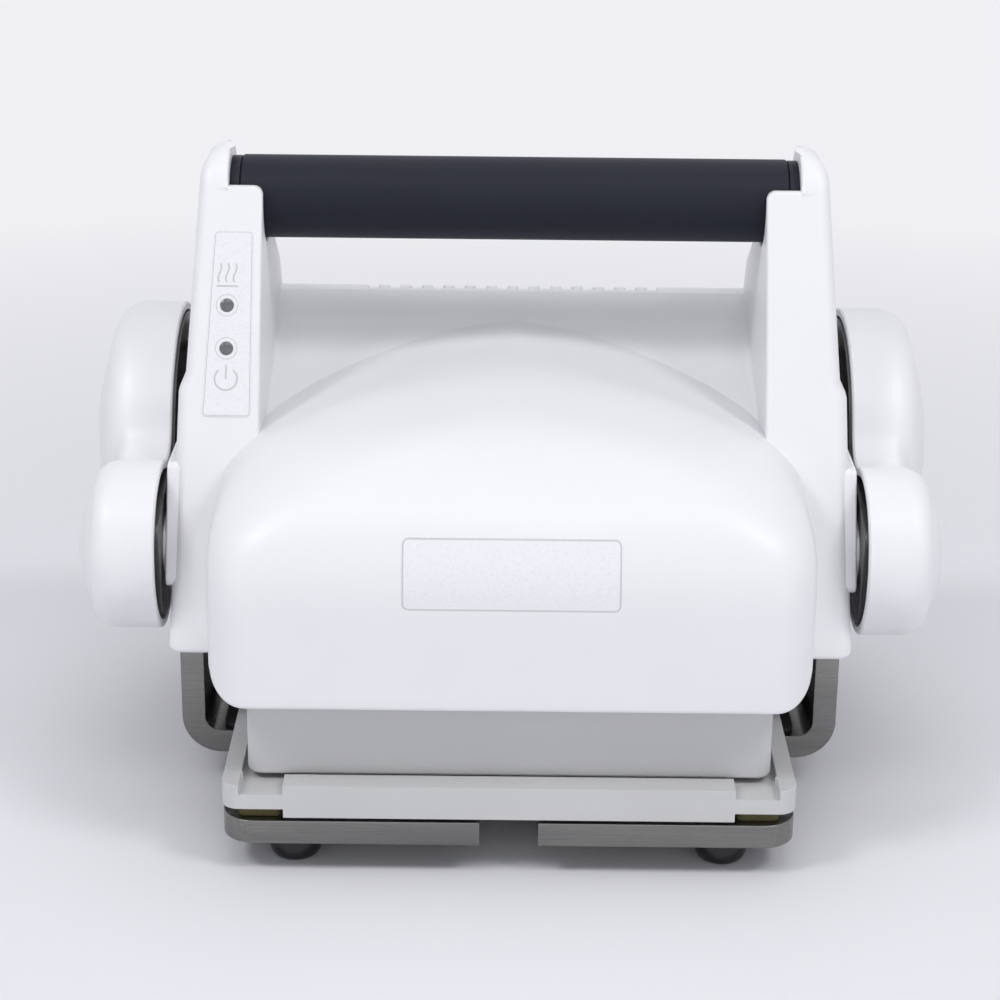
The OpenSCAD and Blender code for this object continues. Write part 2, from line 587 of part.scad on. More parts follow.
// On the front of the left arm, square to its face
module on_arm_front(z) translate([label_x, arm_front(z), z]) rotate([90 - arm_lean, 0, 0]) children();
module lens_places() for (z = [label_z - 5.7, label_z + 4.2]) on_arm_front(z) children();
module indicator_lenses() color([0.45, 0.46, 0.47]) at_origin() lens_places() union() {
    translate([0, 0, -4]) cylinder(r = lens_r, h = 4.35);
    translate([0, 0, -shell_wall - 1.2]) cylinder(r = lens_r + 0.9, h = 1.15);
}
label_w = 12.8;
label_len = 46.8;
module indicator_label() color([0.93, 0.93, 0.95]) at_origin() difference() {
    on_arm_front(label_z) translate([0, 0, face_gap]) round_plate(label_w, label_len, 0.3, 1.2);
    lens_places() translate([0, 0, -1]) cylinder(r = lens_r + 0.1, h = 3);
}
plate_low = 68.8;
plate_tall = 16.6;
nameplate_w = 51;
nameplate_t = 0.4;
// A slice of the curved front face, from one depth below the surface to another
module front_slice(y0, y1, grow) intersection() {
    across(-nameplate_w, nameplate_w) polygon(concat(
        [for (i = [-1:9]) let (z = plate_low + plate_tall * i / 8) [housing_front(z) + y0, z]],
        [for (i = [9:-1:-1]) let (z = plate_low + plate_tall * i / 8) [housing_front(z) + y1, z]]));
    translate([0, 0, plate_low + plate_tall / 2]) backwards(-5, 40)
        round_rect(nameplate_w + 2 * grow, plate_tall + 2 * grow, 1.6 + grow);
}
module nameplate() color([0.96, 0.96, 0.97]) at_origin() front_slice(0, nameplate_t - face_gap, 0);

// Rear cover: a curved strip that closes the back, with a flat for the inlet and the switch and
// a floor that carries the circuit board
rear_floor_z = 46.2;
// How far behind the pivots the inside and the outside of the round back meet the floor
floor_in = sqrt(pow(barrel_r - shell_wall, 2) - pow(pivot_z - rear_floor_z, 2));
floor_out = sqrt(pow(barrel_r, 2) - pow(pivot_z - rear_floor_z, 2));
flat_half = sqrt(pow(barrel_r, 2) - pow(rear_face_y - pivot_y, 2));
module rear_strip_outline() {
    intersection() {
        difference() {
            translate([pivot_y, pivot_z]) circle(barrel_r, $fn = 96);
            translate([pivot_y, pivot_z]) circle(barrel_r - shell_wall, $fn = 96);
            translate([rear_face_y, 0]) square([20, 200]);
        }
        polygon([[pivot_y, pivot_z], [pivot_y + floor_in, rear_floor_z], [200, rear_floor_z], [200, 200],
            barrel_point(crest_angle, 140)]);
    }
    translate([rear_face_y - shell_wall, pivot_z - flat_half]) square([shell_wall, 2 * flat_half]);
    polygon([[seam_y + 0.1, crest_z - shell_wall - 0.4], [seam_y + 0.1, crest_z],
        barrel_point(crest_angle - 0.5, barrel_r - 0.1),
        barrel_point(crest_angle - 6, barrel_r - shell_wall + 0.2)]);
    translate([pivot_y - floor_front, rear_floor_z]) square([floor_front + floor_out, shell_wall]);
}
floor_front = 7.5;
post_r = 3;
board_post_y = [pivot_y - 1, pivot_y + floor_in - post_r - 0.4];
rear_screw_r = barrel_r - shell_wall - 3;
module rear_screw_places() for (a = [34, -34])
    translate([0, pivot_y + rear_screw_r * cos(a), pivot_z + rear_screw_r * sin(a)]) children();
module rear_cover() color(white) at_origin() difference() {
    union() {
        across(-rear_strip_half, rear_strip_half) rear_strip_outline();
        for (sx = [-1, 1], y = board_post_y) translate([sx * (board_w / 2 - 8), y, rear_floor_z + 1])
            cylinder(r = post_r, h = 7.5);
        both_sides() rear_screw_places() rod(3.4, rear_strip_half - 9, rear_strip_half - 0.02, 0, 0);
    }
    vents();
    both_sides() rear_screw_places() rod(1.5 + face_gap, rear_strip_half - 8.2, rear_strip_half + 1, 0, 0);
    // Cut-outs for the inlet and the switch
    translate([inlet_x - inlet_w / 2 - 0.1, rear_face_y - shell_wall - 5, pivot_z - inlet_h / 2 - 0.1])
        cube([inlet_w + 0.2, 60, inlet_h + 0.2]);
    translate([switch_x - switch_w / 2 - 0.2, rear_face_y - shell_wall - 5, pivot_z - switch_h / 2 - 0.2])
        cube([switch_w + 0.4, 60, switch_h + 0.4]);
}
module rear_cover_screws() color(steel) at_origin() both_sides() rear_screw_places() {
    rod(1.5, rear_strip_half - 8, body_x + 0.1, 0, 0);
    rod(2.7, body_x + 0.02, body_x + 0.7, 0, 0);
}

// Handle
ring_l = 2.6;
module grip_sleeve() color([0.16, 0.16, 0.18]) at_origin() difference() {
    rod(grip_r, -ear_x + ring_l, ear_x - ring_l, grip_y, grip_z);
    rod(8 + face_gap, -ear_x, ear_x, grip_y, grip_z);
}
module grip_tube() color(steel) at_origin() difference() {
    rod(8, -ear_x + 0.1, ear_x - 0.1, grip_y, grip_z);
    rod(6, -ear_x + 12, ear_x - 12, grip_y, grip_z);
    rod(2.5 + face_gap, -ear_x - 1, ear_x + 1, grip_y, grip_z);
}
module grip_end_rings() color(black) at_origin() both_sides() difference() {
    rod(grip_r - 0.25, ear_x - ring_l + 0.02, ear_x - 0.05, grip_y, grip_z);
    rod(8 + face_gap, 0, ear_x + 1, grip_y, grip_z);
}
module grip_screws() color(steel) at_origin() both_sides() {
    rod(2.5, ear_x - 11, ear_x + shell_wall + 0.1, grip_y, grip_z);
    rod(4.2, ear_x + shell_wall + 0.05, ear_x + shell_wall + 1.9, grip_y, grip_z);
}

// Pins that hang the platen, with the sleeves that space it between the arms
spacer_r = pin_r + 1.6;
spacer_end_x = arm_out(pin_z) - shell_wall - soft_gap;
module platen_pins() color(steel) at_origin() both_sides() {
    rod(pin_r, lug_x - 4, link_out_x + 1, nest_y, pin_z);
    rod(pin_r + 3.5, link_out_x + 0.02, link_out_x + 4, nest_y, pin_z);
}
module pin_spacers() color([0.7, 0.71, 0.72]) at_origin() both_sides() difference() {
    rod(spacer_r, lug_x + 1.2, spacer_end_x, nest_y, pin_z);
    rod(pin_r + face_gap, 0, 100, nest_y, pin_z);
}

// Parts in the back of the head
board_z = rear_floor_z + 8.52;
board_w = 108;
board_front = 5;
board_d = board_front + floor_in + 0.7;
module circuit_board() color([0.1, 0.35, 0.2]) at_origin() {
    translate([-board_w / 2, pivot_y - board_front, board_z]) cube([board_w, board_d, 1.6]);
    for (i = [0:3]) translate([-44 + 12 * i, pivot_y + 16, board_z + 1.5]) cube([9, 5, 6]);
    translate([30, pivot_y + 2, board_z + 1.5]) cylinder(r = 5, h = 12);
}
module mains_relay() color([0.15, 0.25, 0.45]) at_origin()
    translate([-2, pivot_y, board_z + 1.62]) cube([19, 15, 13]);
inlet_x = 34;
inlet_w = 27.2;
inlet_h = 19.8;
switch_x = 2;
switch_w = 12.8;
switch_h = 19.2;
module inlet_shape(w, h, c) polygon([[-w / 2, -h / 2], [w / 2, -h / 2], [w / 2, h / 2 - c],
    [w / 2 - c, h / 2], [-w / 2 + c, h / 2], [-w / 2, h / 2 - c]]);
module mains_inlet() color(black) at_origin() translate([inlet_x, 0, pivot_z]) difference() {
    union() {
        translate([0, rear_face_y + 0.02, 0]) rotate([-90, 0, 0]) round_plate(31, 24, 2.4, 2);
        backwards(rear_face_y - 17, 17.1) inlet_shape(inlet_w, inlet_h, 5);
    }
    backwards(rear_face_y - 14, 20) inlet_shape(23.5, 16.4, 4.5);
    contact_places() translate([-1 - face_gap, rear_face_y - 20, -2 - face_gap])
        cube([2 + 2 * face_gap, 10, 4 + 2 * face_gap]);
}
module contact_places() for (p = [[-7, -2], [7, -2], [0, 3]]) translate([p[0], 0, p[1]]) children();
module inlet_contacts() color(steel) at_origin() translate([inlet_x, 0, pivot_z]) contact_places()
    translate([-1, rear_face_y - 23, -2]) cube([2, 18, 4]);
rocker_y = rear_face_y - 4.6;
module switch_housing() color(black) at_origin() translate([switch_x, 0, pivot_z]) difference() {
    union() {
        translate([0, rear_face_y + 0.02, 0]) rotate([-90, 0, 0]) round_plate(15, 21, 1.8, 1);
        translate([-switch_w / 2, rear_face_y - 15, -switch_h / 2]) cube([switch_w, 15.1, switch_h]);
    }
    translate([-5, rear_face_y - 13.4, -8.2]) cube([10, 20, 16.4]);
    rod(1.2 + run_gap, -6, 6, rocker_y, 0);
}
rocker_tilt = 8;                // the rocker at rest, on its upper end
module switch_rocker() color([0.2, 0.2, 0.22]) at_origin()
translate([switch_x, rocker_y, pivot_z]) rotate([rocker_tilt, 0, 0]) union() {
    across(-4.7, 4.7)
        polygon([[-2.2, -3], [2.8, -7.2], [6.2, -7.2], [4.6, 0], [6.2, 7.2], [2.8, 7.2], [-2.2, 3]]);
    rod(1.2, -5.9, 5.9, 0, 0);
}

// Floating heater: a guard round the nest opening, the platen, its heating mat, insulation and
// a bridge plate with two lugs on the pins
guard_top_z = guard_z + guard_h;
platen_w = guard_w - 2 * guard_wall - 4.5;
platen_d = guard_d - 2 * guard_wall - 4;
mat_h = 1.6;
insulation_h = guard_h - platen_t - mat_h - 5;
bridge_t = 2.5;
bridge_z = guard_z + platen_t + mat_h + insulation_h;
lug_x = guard_w / 2 - guard_wall - 0.6;
guard_r = 4;
guard_in_w = guard_w - 2 * guard_wall;
guard_in_d = guard_d - 2 * guard_wall;
insulation_z = guard_z + platen_t + mat_h;
stat_r = 7.8;                   // thermostat, on the heating mat behind the middle
stat_y = 20;
lug_r = 10;
module heater_guard() color(grey) at_origin() translate([0, nest_y, guard_z]) difference() {
    round_plate(guard_w, guard_d, guard_h, guard_r);
    translate([0, 0, -1]) round_plate(guard_in_w, guard_in_d, guard_h + 2, guard_r - guard_wall);
}
module heated_platen() color([0.66, 0.67, 0.68]) at_origin()
translate([0, nest_y, guard_z + 0.2]) difference() {
    round_plate(platen_w, platen_d, platen_t - 0.2, 2);
    platen_screw_places() translate([0, 0, 4]) cylinder(r = 1.5 + face_gap, h = 20);
    translate([0, platen_d / 2 - 18, platen_t / 2]) rotate([-90, 0, 0]) cylinder(r = 2.2, h = 30);
}
module heating_mat() color([0.75, 0.35, 0.12]) at_origin()
translate([0, nest_y, guard_z + platen_t]) difference() {
    round_plate(platen_w - 6, platen_d - 6, mat_h, 2);
    platen_screw_places() translate([0, 0, -1]) cylinder(r = 3, h = 5);
}
module insulation_block() color([0.85, 0.82, 0.74]) at_origin()
translate([0, nest_y, insulation_z]) difference() {
    round_plate(platen_w - 2, platen_d - 2, insulation_h, 2);
    platen_screw_places() translate([0, 0, -1]) cylinder(r = 1.5 + face_gap, h = 30);
    translate([0, stat_y, -1]) cylinder(r = stat_r + 0.4, h = 30);
}
module platen_screw_places() for (sx = [-1, 1], sy = [-1, 1])
    translate([sx * (platen_w / 2 - 15), sy * (platen_d / 2 - 11.8), 0]) children();
module platen_bridge() color(steel) at_origin() difference() {
    union() {
        translate([0, nest_y, bridge_z]) round_plate(guard_in_w - 0.6, guard_in_d - 0.6, bridge_t, 2);
        both_sides() across(lug_x - 3, lug_x) {
            translate([nest_y, pin_z]) circle(lug_r);
            translate([nest_y - lug_r, bridge_z]) square([2 * lug_r, pin_z - bridge_z]);
        }
    }
    both_sides() rod(pin_r + run_gap, lug_x - 4, lug_x + 1, nest_y, pin_z);
    translate([0, nest_y, bridge_z - 1]) platen_screw_places() cylinder(r = 1.5 + face_gap, h = 9);
    translate([0, nest_y + stat_y, bridge_z - 1]) cylinder(r = stat_r + 1.2, h = 9);
}
module platen_screws() color(steel) at_origin() translate([0, nest_y, 0]) platen_screw_places() {
    translate([0, 0, guard_z + 5]) cylinder(r = 1.5, h = bridge_z + bridge_t - guard_z - 5 + 0.1);
    translate([0, 0, bridge_z + bridge_t + 0.02]) cylinder(r = 2.8, h = 2);
}
module thermostat() color([0.3, 0.3, 0.32]) at_origin()
translate([0, nest_y + stat_y, insulation_z + face_gap]) union() {
    cylinder(r = stat_r, h = 6);
    translate([0, 0, 5.9]) cylinder(r = 5.5, h = 5);
}
module thermal_fuse() color([0.8, 0.8, 0.78]) at_origin()
    rod(2, -7, 7, nest_y - 12, bridge_z + bridge_t + 2 + face_gap);

base_frame();
feet();
base_mat();
plate_carrier();
carrier_pads();
carrier_screws();
pivot_studs();
friction_discs();
pivot_nuts();
head_cover();
rear_cover();
rear_cover_screws();
grip_sleeve();
grip_tube();
grip_end_rings();
grip_screws();
indicator_label();
indicator_lenses();
nameplate();
left_link_plate();
right_link_plate();
pivot_bushes();
left_side_cover();
right_side_cover();
side_cover_screws();
platen_pins();
pin_washers();
pin_spacers();
circuit_board();
mains_relay();
mains_inlet();
inlet_contacts();
switch_housing();
switch_rocker();
heater_guard();
heated_platen();
heating_mat();
insulation_block();
platen_bridge();
platen_screws();
thermostat();
thermal_fuse();
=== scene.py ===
import json
import bpy
import bmesh
import numpy as np
from math import radians
from mathutils import Matrix, Vector


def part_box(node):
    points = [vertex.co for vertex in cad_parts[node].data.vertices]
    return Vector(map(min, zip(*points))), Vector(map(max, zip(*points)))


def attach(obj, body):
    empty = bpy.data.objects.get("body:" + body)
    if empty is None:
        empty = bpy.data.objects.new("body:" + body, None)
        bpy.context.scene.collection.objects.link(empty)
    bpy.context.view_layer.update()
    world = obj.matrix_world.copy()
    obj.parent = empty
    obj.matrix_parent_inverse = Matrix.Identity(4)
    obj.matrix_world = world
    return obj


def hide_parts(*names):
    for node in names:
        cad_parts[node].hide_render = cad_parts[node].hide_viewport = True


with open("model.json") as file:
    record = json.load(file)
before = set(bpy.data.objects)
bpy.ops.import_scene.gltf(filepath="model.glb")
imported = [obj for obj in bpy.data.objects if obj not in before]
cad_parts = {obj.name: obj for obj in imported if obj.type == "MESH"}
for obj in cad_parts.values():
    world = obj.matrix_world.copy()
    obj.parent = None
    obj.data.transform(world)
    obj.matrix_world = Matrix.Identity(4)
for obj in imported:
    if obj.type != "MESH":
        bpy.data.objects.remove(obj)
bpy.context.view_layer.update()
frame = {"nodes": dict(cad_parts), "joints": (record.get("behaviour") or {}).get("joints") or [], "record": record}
nodes = frame["nodes"]
print("frame loaded:", len(nodes), "CAD nodes")

mm = 0.001
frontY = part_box("base_frame")[0].y            # front edge of the base, from where depths are counted
joints = {j["name"]: j for j in frame["joints"]}


def placeOf(jointName):
    # depth from the front edge and height of a joint's axis, in millimetres
    pos = joints[jointName]["pos_m"]
    return np.array([(pos[1] - frontY) / mm, pos[2] / mm])


def boxOf(nodeName):
    # corners of a CAD node in millimetres, with depth from the front edge
    low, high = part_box(nodeName)
    move = np.array([0, -frontY, 0])
    return (np.array(low) + move) / mm, (np.array(high) + move) / mm


pivot = placeOf("lever_hinge")
pin = placeOf("platen_float")
gripLow, gripHigh = boxOf("grip_sleeve")
gripAxis = np.array([gripLow[1] + gripHigh[1], gripLow[2] + gripHigh[2]]) / 2
gripRadius = (gripHigh[2] - gripLow[2]) / 2
legX = boxOf("base_frame")[1][0]              # outside of an upright

# Camera at the photograph's viewing angle
camera = {"lens": 90, "place": (-2.9, -535.6, 291.3), "pitchDown": 20, "roll": 0.6}
camData = bpy.data.cameras.new("photoCamera")
camData.lens = camera["lens"]
camData.sensor_width = 36
camObject = bpy.data.objects.new("photoCamera", camData)
bpy.context.scene.collection.objects.link(camObject)
cx, cy, cz = camera["place"]
camObject.location = (cx * mm, cy * mm + frontY, cz * mm)
tilt = Matrix.Rotation(radians(90 - camera["pitchDown"]), 4, "X")
roll = Matrix.Rotation(radians(camera["roll"]), 4, "Z")
camObject.rotation_euler = (tilt @ roll).to_euler()
camData.clip_start, camData.clip_end = 0.01, 20
bpy.context.scene.camera = camObject


# Node helpers for the materials
def newMaterial(name, color, roughness, metallic=0.0, **sockets):
    # a Principled material with plain values; other sockets are set by their names
    material = bpy.data.materials.new(name)
    material.use_nodes = True
    tree = material.node_tree
    shader = tree.nodes["Principled BSDF"]
    shader.inputs["Base Color"].default_value = (*color, 1)
    shader.inputs["Roughness"].default_value = roughness
    shader.inputs["Metallic"].default_value = metallic
    for key, value in sockets.items():
        shader.inputs[key].default_value = value
    return material, tree, shader


def objectSpace(tree, scale=(1, 1, 1)):
    # object coordinates, stretched by a mapping
    coords = tree.nodes.new("ShaderNodeTexCoord")
    mapping = tree.nodes.new("ShaderNodeMapping")
    mapping.inputs["Scale"].default_value = scale
    tree.links.new(coords.outputs["Object"], mapping.inputs["Vector"])
    return mapping.outputs["Vector"]


def noise(tree, vector, scale, detail=3.0, roughness=0.5):
    # layered noise: each layer is twice as fine as the last, and weaker by the roughness
    node = tree.nodes.new("ShaderNodeTexNoise")
    node.inputs["Scale"].default_value = scale
    node.inputs["Detail"].default_value = detail
    node.inputs["Roughness"].default_value = roughness
    tree.links.new(vector, node.inputs["Vector"])
    return node.outputs["Fac"]


def ramp(tree, value, low, high, fromLow=0.3, fromHigh=0.7):
    # a value spread linearly from one range to another
    node = tree.nodes.new("ShaderNodeMapRange")
    node.inputs["From Min"].default_value = fromLow
    node.inputs["From Max"].default_value = fromHigh
    node.inputs["To Min"].default_value = low
    node.inputs["To Max"].default_value = high
    tree.links.new(value, node.inputs["Value"])
    return node.outputs["Result"]


def blendColors(tree, value, colorA, colorB, low=0.3, high=0.7):
    # one colour at the low value, the other at the high one, mixed linearly between them
    node = tree.nodes.new("ShaderNodeMix")
    node.data_type = "RGBA"
    node.inputs["A"].default_value = (*colorA, 1)
    node.inputs["B"].default_value = (*colorB, 1)
    tree.links.new(ramp(tree, value, 0, 1, low, high), node.inputs["Factor"])
    return node.outputs["Result"]


def addBump(tree, shader, height, strength, distance):
    # tips the shading normal by the slope of a height
    node = tree.nodes.new("ShaderNodeBump")
    node.inputs["Strength"].default_value = strength
    node.inputs["Distance"].default_value = distance
    tree.links.new(height, node.inputs["Height"])
    tree.links.new(node.outputs["Normal"], shader.inputs["Normal"])


def mathNode(tree, operation, *values, kind="ShaderNodeMath"):
    # one operation on the values of other sockets
    node = tree.nodes.new(kind)
    node.operation = operation
    for socket, value in zip(node.inputs, values):
        tree.links.new(value, socket)
    return node.outputs["Value"]


def moulded(name, color, roughness, grain=2600, depth=0.00001, spread=0.03, wander=38, **sockets):
    # moulded plastic: a fine spark-eroded grain, and a colour and a gloss that wander a little
    material, tree, shader = newMaterial(name, color, roughness, **sockets)
    space = objectSpace(tree)
    broad = noise(tree, space, wander, 3)
    darker = tuple(c * (1 - spread) for c in color)
    tree.links.new(blendColors(tree, broad, darker, color), shader.inputs["Base Color"])
    tree.links.new(ramp(tree, broad, roughness * 0.93, roughness * 1.07), shader.inputs["Roughness"])
    addBump(tree, shader, noise(tree, space, grain, 2), 0.35, depth)
    return material


def brushed(name, color, roughness, stretch, strength=0.25, spread=0.12, sideStretch=None):
    # brushed metal: noise drawn out along the grain gives streaks in colour, gloss and height;
    # faces that look sideways may have a grain of their own; broad clouds that lighten and darken the colour are a
    # painted reflection of the surroundings
    material, tree, shader = newMaterial(name, color, roughness, 1.0)
    streaks = noise(tree, objectSpace(tree, stretch), 2200, 4, 0.6)
    if sideStretch:
        coords = tree.nodes.new("ShaderNodeTexCoord")
        parts = tree.nodes.new("ShaderNodeSeparateXYZ")
        tree.links.new(coords.outputs["Normal"], parts.inputs[0])
        sideways = mathNode(tree, "ABSOLUTE", parts.outputs["X"])
        choice = tree.nodes.new("ShaderNodeMix")
        choice.data_type = "FLOAT"
        tree.links.new(ramp(tree, sideways, 0, 1, 0.6, 0.8), choice.inputs["Factor"])
        tree.links.new(streaks, choice.inputs["A"])
        tree.links.new(noise(tree, objectSpace(tree, sideStretch), 2200, 4, 0.6), choice.inputs["B"])
        streaks = choice.outputs["Result"]
    darker = tuple(c * (1 - spread) for c in color)
    # painted reflection: broad clouds that multiply the colour by 0.86 to 1.12, standing in for surroundings
    # mirrored in the steel
    paintedReflections = noise(tree, objectSpace(tree, (0.35, 0.35, 1)), 55, 3)
    streaksAndPaintedReflections = tree.nodes.new("ShaderNodeMix")
    streaksAndPaintedReflections.data_type = "RGBA"
    streaksAndPaintedReflections.blend_type = "MULTIPLY"
    streaksAndPaintedReflections.inputs["Factor"].default_value = 1
    tree.links.new(blendColors(tree, streaks, darker, color), streaksAndPaintedReflections.inputs["A"])
    tree.links.new(blendColors(tree, paintedReflections, (0.86, 0.86, 0.87), (1.12, 1.12, 1.10)), streaksAndPaintedReflections.inputs["B"])
    tree.links.new(streaksAndPaintedReflections.outputs["Result"], shader.inputs["Base Color"])
    tree.links.new(ramp(tree, streaks, roughness * 0.75, roughness * 1.3), shader.inputs["Roughness"])
    addBump(tree, shader, streaks, strength, 0.00002)
    return material


def machined(name, color, roughness):
    # plain machined or cast metal with a faint mottled gloss
    material, tree, shader = newMaterial(name, color, roughness, 1.0)
    mottle = noise(tree, objectSpace(tree), 420, 4)
    tree.links.new(ramp(tree, mottle, roughness * 0.8, roughness * 1.2), shader.inputs["Roughness"])
    addBump(tree, shader, mottle, 0.08, 0.00003)
    return material


def fibrous(name, color, roughness, scale, depth):
    # soft lining, mat or board: coarse grain in colour and height
    material, tree, shader = newMaterial(name, color, roughness)
    grain = noise(tree, objectSpace(tree), scale, 5, 0.65)
    darker = tuple(c * 0.72 for c in color)
    tree.links.new(blendColors(tree, grain, darker, color), shader.inputs["Base Color"])
    addBump(tree, shader, grain, 0.4, depth)
    return material


finishes = {
    "head_white": moulded("satinWhite", (0.86, 0.86, 0.88), 0.40, spread=0.015),
    "label_white": moulded("labelFilm", (0.85, 0.85, 0.88), 0.28, grain=900, depth=0.000004, spread=0.004,
                           wander=1500),
    "grey_coat": moulded("greyCoat", (0.60, 0.60, 0.605), 0.42, grain=1900, depth=0.000012, spread=0.03),
    "base_steel": brushed("brushedBase", (0.215, 0.213, 0.209), 0.30, (0.02, 1, 1), 0.3, 0.14, (1, 0.02, 1)),
    # the link plates' steel is made darker than the base's as painted shade of the gap between the arm and the
    # side cover
    "link_steel": brushed("brushedLinkPaintedShade", (0.13, 0.13, 0.132), 0.42, (1, 0.05, 1), 0.3, 0.2),
    "fastener_steel": machined("screwSteel", (0.58, 0.58, 0.57), 0.28),
    "foot_rubber": moulded("footRubber", (0.012, 0.012, 0.014), 0.14, spread=0.1),
    "mat_black": fibrous("matBlack", (0.016, 0.016, 0.018), 0.75, 900, 0.00006),
    # the pads' olive is darkened as painted shade: they sit in shadow behind the nest's front edge
    "pad_olive": fibrous("padOlivePaintedShade", (0.10, 0.09, 0.03), 0.7, 1200, 0.00004),
    "friction_brown": fibrous("frictionLining", (0.16, 0.09, 0.05), 0.8, 1500, 0.00004),
    "grip_black": moulded("gripSleeve", (0.014, 0.016, 0.027), 0.5, grain=1500, depth=0.000016, spread=0.12,
                          **{"Specular IOR Level": 0.18}),
    "ring_black": moulded("gripRing", (0.013, 0.014, 0.023), 0.45, spread=0.1, **{"Specular IOR Level": 0.2}),
    "lens_grey": moulded("lensGrey", (0.13, 0.14, 0.145), 0.16, grain=500, depth=0.000003, spread=0.05),
    "bush_bronze": machined("bushBronze", (0.50, 0.34, 0.14), 0.35),
    "platen_alu": brushed("groundPlaten", (0.72, 0.72, 0.73), 0.26, (0.05, 1, 1), 0.12, 0.06),
    "mat_orange": fibrous("heatingMat", (0.44, 0.10, 0.02), 0.6, 700, 0.00004),
    "insulation": fibrous("insulationBoard", (0.62, 0.56, 0.42), 0.9, 500, 0.0001),
    "board_green": moulded("boardGreen", (0.015, 0.09, 0.035), 0.3, spread=0.2),
    "relay_blue": moulded("relayBlue", (0.02, 0.06, 0.22), 0.35, spread=0.08),
    "socket_black": moulded("socketBlack", (0.014, 0.014, 0.016), 0.5, spread=0.12),
    "contact_metal": machined("contactMetal", (0.7, 0.69, 0.66), 0.2),
    "rocker_black": moulded("rockerBlack", (0.018, 0.018, 0.02), 0.28, spread=0.1),
    "device_dark": moulded("deviceDark", (0.03, 0.03, 0.035), 0.5, spread=0.1),
    "fuse_metal": machined("fuseMetal", (0.7, 0.7, 0.69), 0.3),
}
slotOf = {s["node"]: s["material_slot"] for s in frame["record"]["subparts"]}
for nodeName, nodeObject in nodes.items():
    nodeObject.data.materials.clear()
    nodeObject.data.materials.append(finishes[slotOf[nodeName]])
print("finishes made:", len(finishes))


# Mesh helpers
def gridFaces(nu, nv, wrapU, wrapV, offset):
    # quads of a grid of points, closed round in either direction where asked
    index = np.arange(nu * nv).reshape(nu, nv) + offset
    nextU = np.roll(index, -1, 0)
    cornerA = index
    cornerB = nextU
    cornerC = np.roll(nextU, -1, 1)
    cornerD = np.roll(index, -1, 1)
    quads = np.stack([cornerA, cornerB, cornerC, cornerD], -1)
    quads = quads[: nu if wrapU else nu - 1, : nv if wrapV else nv - 1]
    return quads.reshape(-1, 4), index


def makePiece(name, grids, slotName, body, replaced=(), sharp=38, keep=None):
    # a mesh of one or more grids, each (points, wrapU, wrapV, caps); caps names the ends that a
    # polygon closes
    points, faces, start = [], [], 0
    for gridPoints, wrapU, wrapV, caps in grids:
        nu, nv = gridPoints.shape[:2]
        quads, index = gridFaces(nu, nv, wrapU, wrapV, start)
        if keep is not None:
            quads = quads[keep.reshape(-1)]
        faces += quads.tolist()
        if "startV" in caps:
            faces.append(index[:, 0].tolist())
        if "endV" in caps:
            faces.append(index[:, -1].tolist())
        if "startU" in caps:
            faces.append(index[0].tolist())
        if "endU" in caps:
            faces.append(index[-1].tolist())
        points.append(gridPoints.reshape(-1, 3))
        start += nu * nv
    place = np.concatenate(points) * mm + np.array([0, frontY, 0])
    mesh = bpy.data.meshes.new(name)
    mesh.from_pydata(place.tolist(), [], faces)
    piece = bpy.data.objects.new(name, mesh)
    bpy.context.scene.collection.objects.link(piece)
    work = bmesh.new()
    work.from_mesh(mesh)
    bmesh.ops.remove_doubles(work, verts=work.verts, dist=2e-6)
    bmesh.ops.dissolve_degenerate(work, edges=work.edges, dist=1e-7)
    bmesh.ops.recalc_face_normals(work, faces=work.faces)
    work.to_mesh(mesh)
    work.free()
    return dress(piece, slotName, body, replaced, sharp)


def dress(piece, slotName, body, replaced, sharp):
    # finish, smooth shading with sharp edges, and the frame's book-keeping
    mesh = piece.data
    mesh.materials.clear()
    mesh.materials.append(finishes[slotName])
    mesh.shade_smooth()
    mesh.set_sharp_from_angle(angle=radians(sharp))
    if replaced:
        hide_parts(*replaced)
    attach(piece, body)
    return piece


def bevelledCopy(nodeName, name, body, width, segments=3):
    # a CAD node whose edges get a small round: merged copy, flat faces joined, then a bevel
    source = nodes[nodeName]
    mesh = source.data.copy()
    mesh.name = name
    piece = bpy.data.objects.new(name, mesh)
    bpy.context.scene.collection.objects.link(piece)
    work = bmesh.new()
    work.from_mesh(mesh)
    bmesh.ops.remove_doubles(work, verts=work.verts, dist=1e-6)
    bmesh.ops.dissolve_limit(work, angle_limit=radians(0.5), verts=work.verts, edges=work.edges)
    work.to_mesh(mesh)
    work.free()
    bevel = piece.modifiers.new("edgeRound", "BEVEL")
    bevel.width = width * mm
    bevel.segments = segments
    bevel.limit_method = "ANGLE"
    bevel.angle_limit = radians(40)
    bevel.harden_normals = False
    dress(piece, slotOf[nodeName], body, (nodeName,), 50)
    return piece


def unitCircle(angle):
    # the points (cosine, sine) at these angles
    return np.stack([np.cos(angle), np.sin(angle)], -1)


def softStep(t):
    # 0 to 1 with level ends: t squared times (3 - 2 t)
    return t * t * (3 - 2 * t)


def arc(centre, radius, fromDeg, toDeg, count):
    # points on a circle in the (depth, height) plane
    return np.asarray(centre) + radius * unitCircle(np.radians(np.linspace(fromDeg, toDeg, count)))


